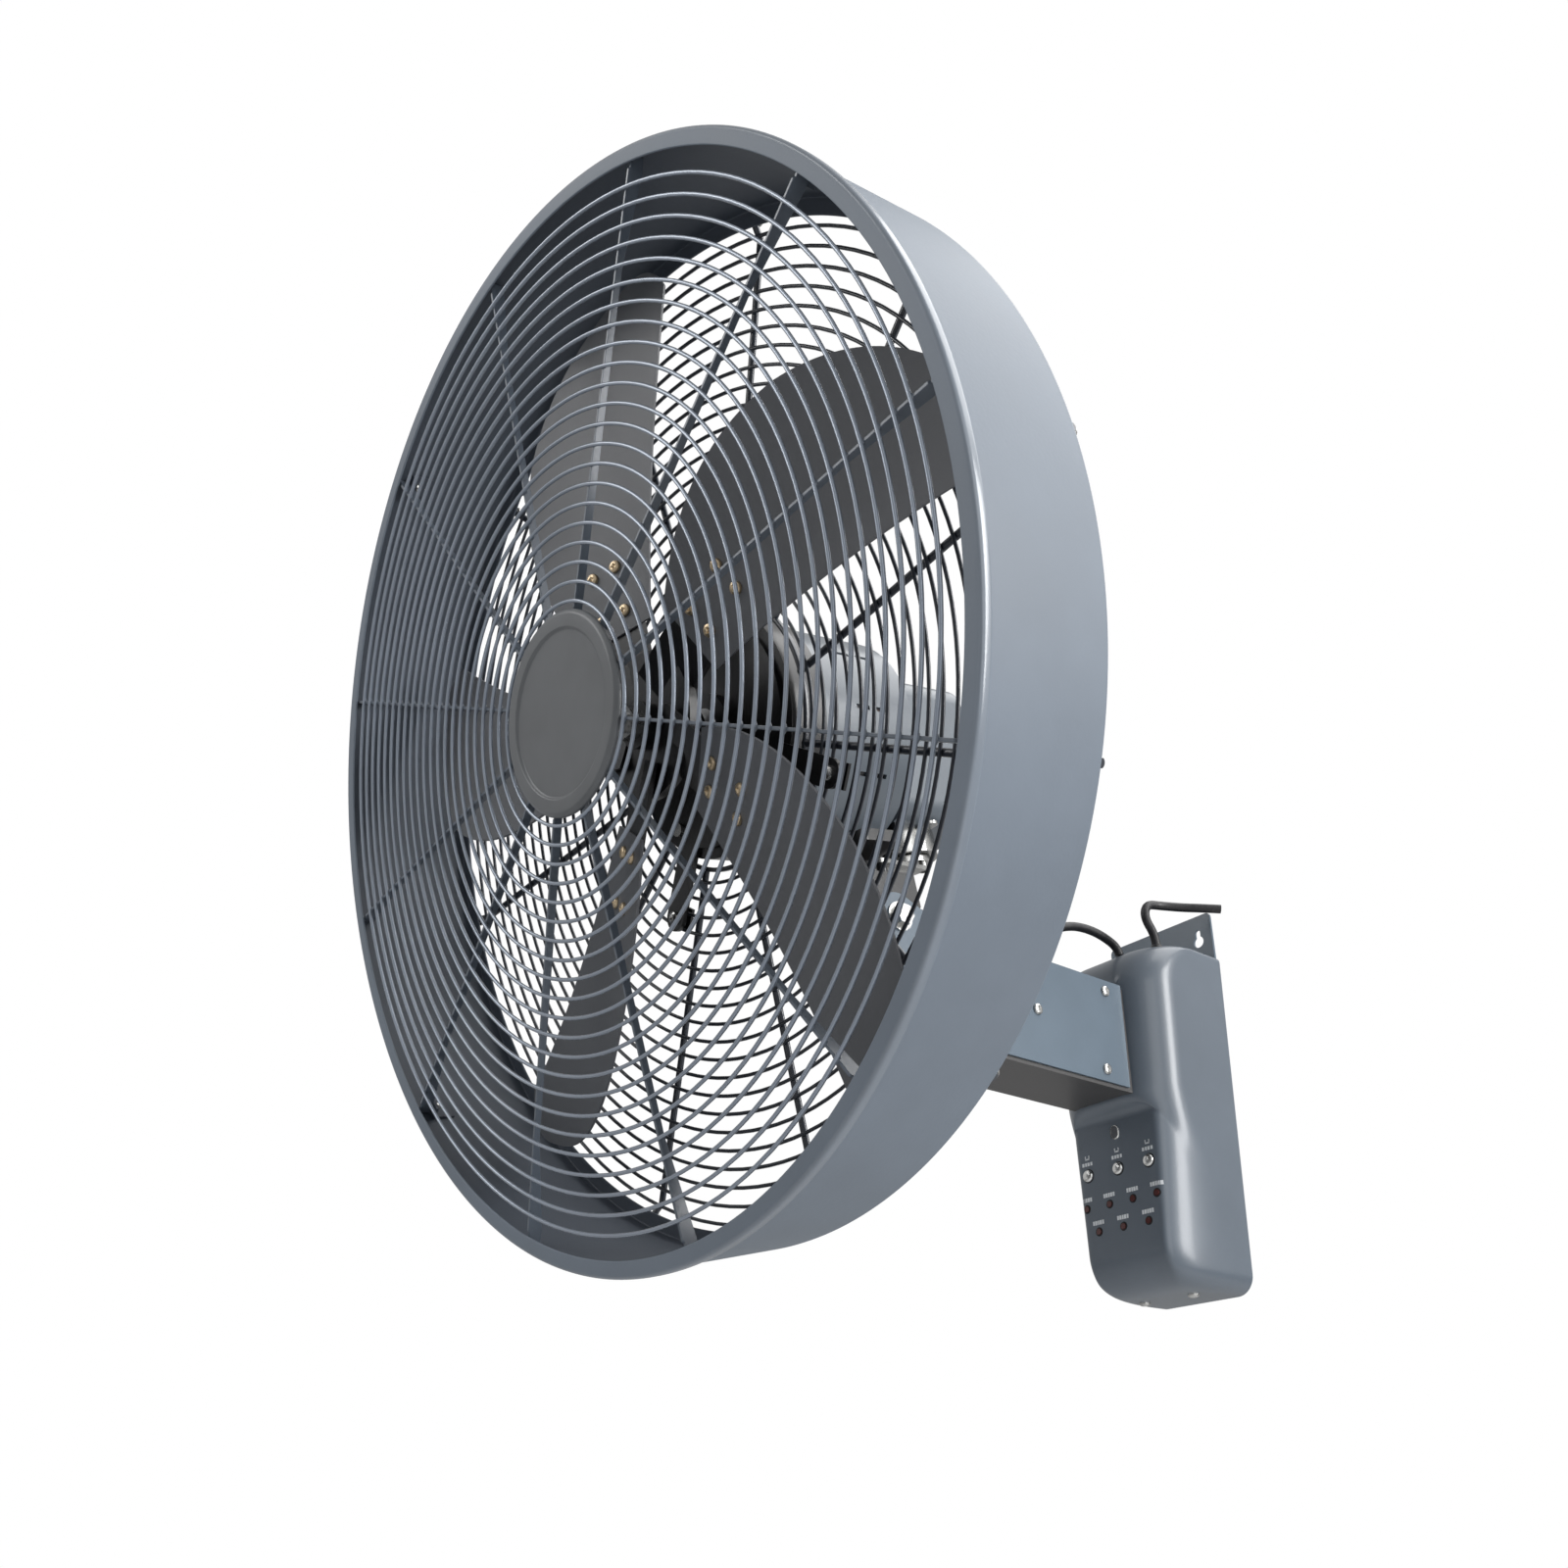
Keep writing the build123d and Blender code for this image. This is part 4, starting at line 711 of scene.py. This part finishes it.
def makeBlades():
    # Each blade is a patch between four edges: the root, the tip, and its leading and trailing edge.
    # A place in it is the blend of the two long edges, plus that of the two short ones, less that of
    # the corners.
    leading = np.concatenate([
        threePointArc((0.066, 0.030), (0.140, 0.053), (0.215, 0.042), 24),
        threePointArc((0.215, 0.042), (0.264, 0.006), (0.289, -0.046), 24)[1:],
    ])
    trailing = threePointArc((0.066, -0.020), (0.170, -0.050), (0.268, -0.092), len(leading))
    columns = 25
    root = np.linspace(trailing[0], leading[0], columns)
    tip = threePointArc((0.268, -0.092), (0.290, -0.076), (0.289, -0.046), columns)
    u = np.linspace(0, 1, len(leading))[:, None, None]
    v = np.linspace(0, 1, columns)[None, :, None]
    corners = (
        (1 - u) * (1 - v) * trailing[0] + (1 - u) * v * leading[0]
        + u * (1 - v) * trailing[-1] + u * v * leading[-1]
    )
    lengthwise = (1 - v) * trailing[:, None] + v * leading[:, None]
    patch = lengthwise + (1 - u) * root[None] + u * tip[None] - corners
    rim = np.concatenate([patch[:, 0], patch[-1, 1:], patch[-2::-1, -1], patch[0, -2:0:-1]])
    for number in range(blade["count"]):
        shape = Shape()
        angle = blade["turn"] + 360 / blade["count"] * number
        for behindSheet in (0.0, blade["sheet"]):
            shape.grid(bladePlace(angle, patch[..., 0], patch[..., 1], behindSheet))
        layers = [bladePlace(angle, rim[:, 0], rim[:, 1], share * blade["sheet"]) for share in (0, 1)]
        shape.grid(np.stack(layers), False, True)
        shape.piece(
            f"blade_sheet_{number + 1}", "blade_wheel", "blade_paint", [f"blade_{number + 1}"],
            bevel=blade["edge"], weld=True,
        )


def screwHeads(shape, places, headRadius, headHeight, shankRadius=0.0, shankLength=0.0):
    # Domed head with a crossed recess: rings of a dome, the innermost pushed in along four arms.
    steps = 16
    turn = np.linspace(0, 2 * pi, steps, endpoint=False)[:, None]
    rows = [(1.0, 0.0), (1.0, 0.35), (0.9, 0.72), (0.68, 0.93), (0.5, 1.0), (0.34, 1.02), (0.12, 1.03)]
    crossRow = 5
    crossDepth = 0.55
    arms = 0.5 + 0.5 * np.cos(4 * turn)
    sunk = {crossRow: crossDepth * arms ** 3, crossRow + 1: crossDepth}
    for place, across, normal in places:
        circle = np.cos(turn) * across + np.sin(turn) * np.cross(normal, across)
        grid = [
            place + headRadius * radius * circle + headHeight * (height - sunk.get(index, 0.0)) * normal
            for index, (radius, height) in enumerate(rows)
        ]
        shape.grid(np.array(grid), False, True, capRows=True)
        if shankLength:
            shank = [place - reach * normal + shankRadius * circle for reach in (0.0, shankLength)]
            shape.grid(np.array(shank), False, True, capRows=True)


def headSpots(circle, count, turn, depth, towards):
    # Screws round the fan axis: towards is 1 for heads that face the rear, -1 for the front.
    return [
        (wheelPoints(circle, turn + 360 / count * number, depth), rightward, backward * towards)
        for number in range(count)
    ]


def makeScrews():
    circle, count = rearGuard["screwCircle"], rearGuard["screws"]
    heads = {
        "rear_guard": headSpots(circle, count, guard["ribTurn"], rearGuard["headDepth"], 1),
        "guard": headSpots(*bracketScrews, 1),
        "clamp": headSpots(*clampScrews, -1),
        "blade": [], "arm": [], "box": [],
    }
    for number in range(blade["count"]):
        angle = blade["turn"] + 360 / blade["count"] * number
        outwardArm = cos(radians(angle)) * rightward + sin(radians(angle)) * upright
        for row in blade["screwRows"]:
            for step in (-0.5, 0.5):
                across = blade["screwMiddle"] + step * blade["screwSpacing"]
                place = bladePlace(angle, row, across, -0.0002)
                deeper = bladePlace(angle, row, across, 0.0008)
                normal = (place - deeper) / np.linalg.norm(place - deeper)
                heads["blade"].append((place, outwardArm, normal))
    for side in (-1, 1):
        for back, height in arm["screws"]:
            place = np.array([side * arm["halfWidth"], back, height])
            heads["arm"].append((place, np.array([0.0, 1.0, 0.0]), side * rightward))
        place = np.array([side * box["screwSide"], box["screwBack"], box["bottom"]])
        heads["box"].append((place, rightward, np.array([0.0, 0.0, -1.0])))
    bodies = {"blade": "blade_wheel", "arm": "wall_arm", "box": "wall_arm"}
    for name, places in heads.items():
        shape = Shape()
        screwHeads(shape, places, *screwSizes[name])
        look = "brass_screw" if name == "blade" else "screw_steel"
        body = bodies.get(name, "swing_head")
        shape.piece(f"{name}_screw_heads", body, look, [f"{name}_screws"], angle=35)


def smoothStep(value, low, high):
    share = np.clip((value - low) / (high - low), 0, 1)
    return share * share * (3 - 2 * share)


def roll(past, radius):
    # How far a face has gone back when it is this far past the start of its rounding.
    past = np.clip(past, 0, radius)
    return radius - np.sqrt(radius ** 2 - past ** 2)


def halfAcross(down):
    # Half the box's width, by the share of its height below the top.
    return box["halfWidth"] + (box["footHalfWidth"] - box["halfWidth"]) * down


def lowerCornerDeep(down):
    grown = smoothStep(down, 0.5, 1)
    return box["lowerCornerDepth"] + (box["footCornerDepth"] - box["lowerCornerDepth"]) * grown


def makeBox():
    # Level sections from the left rear corner over the front to the right rear corner: side, quarter
    # ellipse, front, quarter ellipse, side. Going down, the deep wide cornered column turns into the
    # flatter panel, in the middle at once, under the arm, and towards the corners lower and more
    # slowly. Brow and chin are the large roundings of the front into the top and the bottom.
    shape = Shape()
    top = box["top"]
    bottom = box["bottom"]
    bend = np.linspace(pi / 2, 0, 25)
    height = np.concatenate([
        top - box["brow"] * (1 - np.sin(bend)),
        np.linspace(top - box["brow"], bottom + box["chin"], 92)[1:-1],
        bottom + box["chin"] * (1 - np.sin(bend[::-1])),
    ])[:, None]
    around = np.linspace(0, 1, 121)[None, :]
    aside = np.abs(around - 0.5)
    slow = smoothStep(aside, 0.10, 0.36)
    begin = box["changeStart"] - box["cornerLead"] * slow
    change = smoothStep(-height, begin, box["changeEnd"] + box["cornerLag"] * slow)
    down = (top - height) / (top - bottom)
    half = halfAcross(down)
    half = half - roll(height - top + box["topRound"], box["topRound"])
    half = half - roll(bottom + box["bottomRound"] - height, box["bottomRound"])
    front = box["upperFront"] + (box["lowerFront"] - box["upperFront"]) * change
    front = front - roll(height - top + box["brow"], box["brow"])
    front = front - roll(bottom + box["chin"] - height, box["chin"])
    cornerWide = box["upperCorner"] + (box["lowerCorner"] - box["upperCorner"]) * change
    cornerDeep = box["upperCorner"] + (lowerCornerDeep(down) - box["upperCorner"]) * change
    cornerDeep = np.minimum(cornerDeep, front - box["leastSide"])
    side = front - cornerDeep + box["back"]
    firstSide, firstBend, flat, secondBend, secondSide = (
        np.clip((around - begin) / share, 0, 1)
        for begin, share in ((0.0, 0.16), (0.16, 0.24), (0.40, 0.20), (0.60, 0.24), (0.84, 0.16))
    )
    firstBend = firstBend * pi / 2
    secondBend = secondBend * pi / 2
    x = -half + cornerWide * (1 - np.cos(firstBend)) + 2 * (half - cornerWide) * flat
    x = x + cornerWide * np.sin(secondBend)
    y = box["back"] - side * firstSide - cornerDeep * np.sin(firstBend)
    y = y + cornerDeep * (1 - np.cos(secondBend)) + side * secondSide
    shape.grid(np.stack(np.broadcast_arrays(x, y, height), axis=-1), False, True, capRows=True)
    shape.piece("box_shell", "wall_arm", "box_plastic", ["control_box"], angle=40)


def panelFront(x, z):
    # The lower shell's front face: flat in the middle, a quarter ellipse at each side.
    down = (box["top"] - z) / (box["top"] - box["bottom"])
    past = np.clip((np.abs(x) - halfAcross(down) + box["lowerCorner"]) / box["lowerCorner"], 0, 1)
    return lowerCornerDeep(down) * (1 - np.sqrt(1 - past ** 2)) - box["lowerFront"]


def makePanel():
    # Rings of painted shade for the recesses round the buttons and lights, domed buttons, and small plain marks.
    front = -box["lowerFront"]
    rings = Shape()
    turn = np.linspace(0, 2 * pi, 32, endpoint=False)

    def gapShadeRing(x, z, inner, outer):
        layers = []
        for radius, proud in ((inner, 0.0001), (outer, 0.00012), (outer + 0.0002, 0.0)):
            across = x + radius * np.cos(turn)
            up = z + radius * np.sin(turn)
            layers.append(np.column_stack([across, panelFront(across, up) - proud, up]))
        rings.grid(np.array(layers), False, True)

    for number in (-1, 0, 1):
        gapShadeRing(number * panel["buttonPitch"], panel["buttonHeight"], *panel["buttonRing"])
    for count, pitch, height in panel["ledRows"]:
        for number in range(count):
            gapShadeRing((number - (count - 1) / 2) * pitch, height, *panel["ledRing"])
    # Painted shade: flat dark rings lie on the panel where the recesses round buttons and lights would be shaded.
    rings.piece("panel_gap_shade", "wall_arm", "black_plastic", angle=40, material=gapShadePaint)
    # The receiver's upright window has a bright rim: two half circles with straight sides between.
    rim = Shape()
    straight = panel["windowStraight"] / 2 * np.sign(np.round(np.sin(turn), 6))
    rows = [
        np.column_stack([
            (panel["windowRadius"] + aside) * np.cos(turn), np.full(len(turn), front - proud),
            panel["windowHeight"] + straight + (panel["windowRadius"] + aside) * np.sin(turn),
        ])
        for aside, proud in ((0.0001, -0.0003), (0.0001, 0.0006), (0.0006, 0.0007), (0.0011, -0.0003))
    ]
    rim.grid(np.array(rows), True, True)
    rim.piece("window_rim", "wall_arm", "button_chrome", angle=40)
    radius = panel["buttonRadius"]
    proud = panel["buttonProud"]
    rows = [
        (radius, -0.004), (radius, proud - 0.0016), (radius * 0.96, proud - 0.0011),
        (radius * 0.84, proud - 0.00055), (radius * 0.62, proud - 0.0002),
        (radius * 0.34, proud - 0.00004), (radius * 0.06, proud),
    ]
    for name, number in (("power", -1), ("speed", 0), ("swing", 1)):
        shape = Shape()
        grid = [
            np.column_stack([
                number * panel["buttonPitch"] + ring * np.cos(turn), np.full(len(turn), front - height),
                panel["buttonHeight"] + ring * np.sin(turn),
            ])
            for ring, height in rows
        ]
        shape.grid(np.array(grid), False, True, capRows=True)
        shape.piece(f"{name}_cap", f"{name}_key", "button_chrome", [f"{name}_button"], angle=50)
    marks = Shape()

    def bar(x, z, width, height):
        corners = [(-1, -1), (1, -1), (1, 1), (-1, 1)]
        places = [(x + a * width / 2, z + b * height / 2) for a, b in corners]
        layers = [[(u, panelFront(u, v) - raised, v) for u, v in places] for raised in (-0.0001, 0.0001)]
        marks.grid(np.array(layers), False, True, capRows=True)

    for count, pitch, height in panel["ledRows"]:
        for number in range(count):
            middle = (number - (count - 1) / 2) * pitch
            for step, width in panel["ledStrokes"]:
                bar(middle + step, height + panel["ledStrokeUp"], width, panel["ledStrokeHigh"])
    for number in (-1, 0, 1):
        middle = number * panel["buttonPitch"]
        for step, width in panel["buttonStrokes"]:
            raisedTo = panel["buttonHeight"] + panel["buttonStrokeUp"]
            bar(middle + step, raisedTo, width, panel["buttonStrokeHigh"])
        for step, up, width, high in panel["buttonSign"]:
            bar(middle + step, panel["buttonHeight"] + up, width, high)
    marks.piece("panel_marks", "wall_arm", "box_plastic", angle=40, material=printedMarks)


def nurbs(name, route):
    curve = bpy.data.curves.new(name, "CURVE")
    curve.dimensions = "3D"
    line = curve.splines.new("NURBS")
    line.points.add(len(route) - 1)
    for point, place in zip(line.points, route):
        point.co = (*place, 1.0)
    line.order_u = 3
    line.use_endpoint_u = True
    curve.resolution_u = 12
    return curve


def curveLine(curve):
    # The places along a curve that has no thickness yet.
    holder = bpy.data.objects.new("holder", curve)
    scene.collection.objects.link(holder)
    bpy.context.view_layer.update()
    line = bpy.data.meshes.new_from_object(holder.evaluated_get(bpy.context.evaluated_depsgraph_get()))
    points = np.array([vertex.co for vertex in line.vertices])
    bpy.data.objects.remove(holder)
    bpy.data.meshes.remove(line)
    return points


def makeCords():
    # The supply cord is a curve that stays on the wall; the motor cord is a mesh that gives way
    # between wall and tilt bracket.
    radius = cords["diameter"] / 2
    curve = nurbs("supply_lead", cords["supply"])
    supplyLine = curveLine(curve)
    curve.bevel_depth = radius
    curve.bevel_resolution = 6
    curve.use_fill_caps = True
    curve.materials.append(looks["rubber_black"])
    supply = bpy.data.objects.new("supply_lead", curve)
    scene.collection.objects.link(supply)
    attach(supply, "wall_arm")
    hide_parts("supply_cord")
    motorCurve = nurbs("motor_lead_line", cords["motor"])
    motorLine = curveLine(motorCurve)
    bpy.data.curves.remove(motorCurve)
    shape = Shape()
    tube(shape, motorLine, radius, sides=20)
    mesh = bpy.data.meshes.new("motor_lead")
    mesh.from_pydata(np.concatenate(shape.points).tolist(), [], shape.faces)
    mesh.materials.append(looks["rubber_black"])
    outward(mesh)
    motor = bpy.data.objects.new("motor_lead", mesh)
    scene.collection.objects.link(motor)
    smooth(motor, 60)
    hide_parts("motor_cord")
    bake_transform(motor)
    # Each grommet is a tapered sleeve that grips the cord above its flange.
    grommets = Shape()
    turn = np.linspace(0, 2 * pi, 40, endpoint=False)
    for x, y in cords["sleevePlaces"]:
        grid = [
            np.column_stack([
                x + around * np.cos(turn), y + around * np.sin(turn),
                np.full(len(turn), box["top"] + up),
            ])
            for around, up in cords["sleeve"]
        ]
        grommets.grid(np.array(grid), False, True, capRows=True)
    grommets.piece("cord_sleeves", "wall_arm", "rubber_black", ["cord_grommets"], angle=60)


def dressNodes():
    # The CAD nodes that stay take their finish from the record's slots, with their edges eased.
    slots = {part["node"]: part["material_slot"] for part in frame["record"]["subparts"]}
    for name, made in frame["nodes"].items():
        made.data.materials.clear()
        made.data.materials.append(channelPaint if name == "arm_channel" else looks[slots[name]])
        if made.hide_render:
            continue
        easing = made.modifiers.new("easing", "BEVEL")
        easing.width = 0.0005
        easing.segments = 2
        easing.limit_method = "ANGLE"
        easing.angle_limit = radians(40)
        easing.harden_normals = True


def addLight(name, place, target, size, power):
    lamp = bpy.data.lights.new(name, "AREA")
    lamp.shape = "RECTANGLE"
    lamp.size, lamp.size_y = size
    lamp.energy = power
    holder = bpy.data.objects.new(name, lamp)
    scene.collection.objects.link(holder)
    holder.location = place
    holder.rotation_mode = "QUATERNION"
    holder.rotation_quaternion = (Vector(target) - Vector(place)).to_track_quat("-Z", "Y")


def makeStage():
    mesh = bpy.data.meshes.new("studio_floor")
    reach = 9.0
    level = -1.25
    corners = [(reach * x, reach * y, level) for x, y in ((-1, -1), (1, -1), (1, 1), (-1, 1))]
    mesh.from_pydata(corners, [], [(0, 1, 2, 3)])
    material, tree, surface, _ = newMaterial("studio_floor")
    surface.inputs["Base Color"].default_value = linear(236, 236, 236)
    surface.inputs["Roughness"].default_value = 0.9
    # The floor looks paler than it is lit, so that it stays pale far from the lamps.
    give(surface.inputs["Emission Color"], shaderNode(tree, "LightPath") * 0.42)
    surface.inputs["Emission Strength"].default_value = 1.0
    mesh.materials.append(material)
    floor = bpy.data.objects.new("studio_floor", mesh)
    scene.collection.objects.link(floor)
    world = bpy.data.worlds.new("studio")
    scene.world = world
    world.use_nodes = True
    tree = world.node_tree
    sky = tree.nodes["Background"]
    seen = shaderNode(tree, "LightPath")
    mirrored = shaderNode(tree, "LightPath", output=3)
    share = seen.math("MAXIMUM", mirrored * 0.35)
    give(sky.inputs["Strength"], share * 0.74 + 0.26)
    sky.inputs["Color"].default_value = (1, 1, 1, 1)
    addLight("key", (0.9, 0.75, 2.1), (0, -0.45, 0), (2.4, 1.6), 36)
    addLight("side", (2.0, -0.9, 0.1), (0, -0.45, 0), (1.0, 1.8), 9)
    addLight("strip", (2.15, 0.78, 0.45), (0.05, -0.07, -0.15), (0.6, 1.6), 45)
    addLight("fill", (-0.9, -2.4, 1.4), (0, -0.5, 0), (1.4, 1.4), 20)


def makeCamera():
    lensData = bpy.data.cameras.new("camera")
    lensData.sensor_width = 36.0
    lensData.lens = 32.12
    lensData.shift_x = -0.070
    lensData.shift_y = 0.0855
    camera = bpy.data.objects.new("camera", lensData)
    scene.collection.objects.link(camera)
    right = Vector((0.6597, 0.7510, -0.0284))
    up = Vector((0.3273, -0.2531, 0.9104))
    back = -Vector((-0.6766, 0.6098, 0.4128))
    turned = Matrix((right, up, back)).transposed().to_4x4()
    camera.matrix_world = Matrix.Translation((0.6410, -0.8731, -0.4379)) @ turned
    scene.camera = camera


makeCamera()
makeCords()
print("camera and cords made")
makeDrum()
makeFrontGuard()
makeRearGuard()
makeBadge()
print("drum and guards made")
makeBlades()
print("blades made")
makeScrews()
makeBox()
makePanel()
print("box and small pieces made")
dressNodes()
makeStage()
scene.view_settings.view_transform = "Standard"
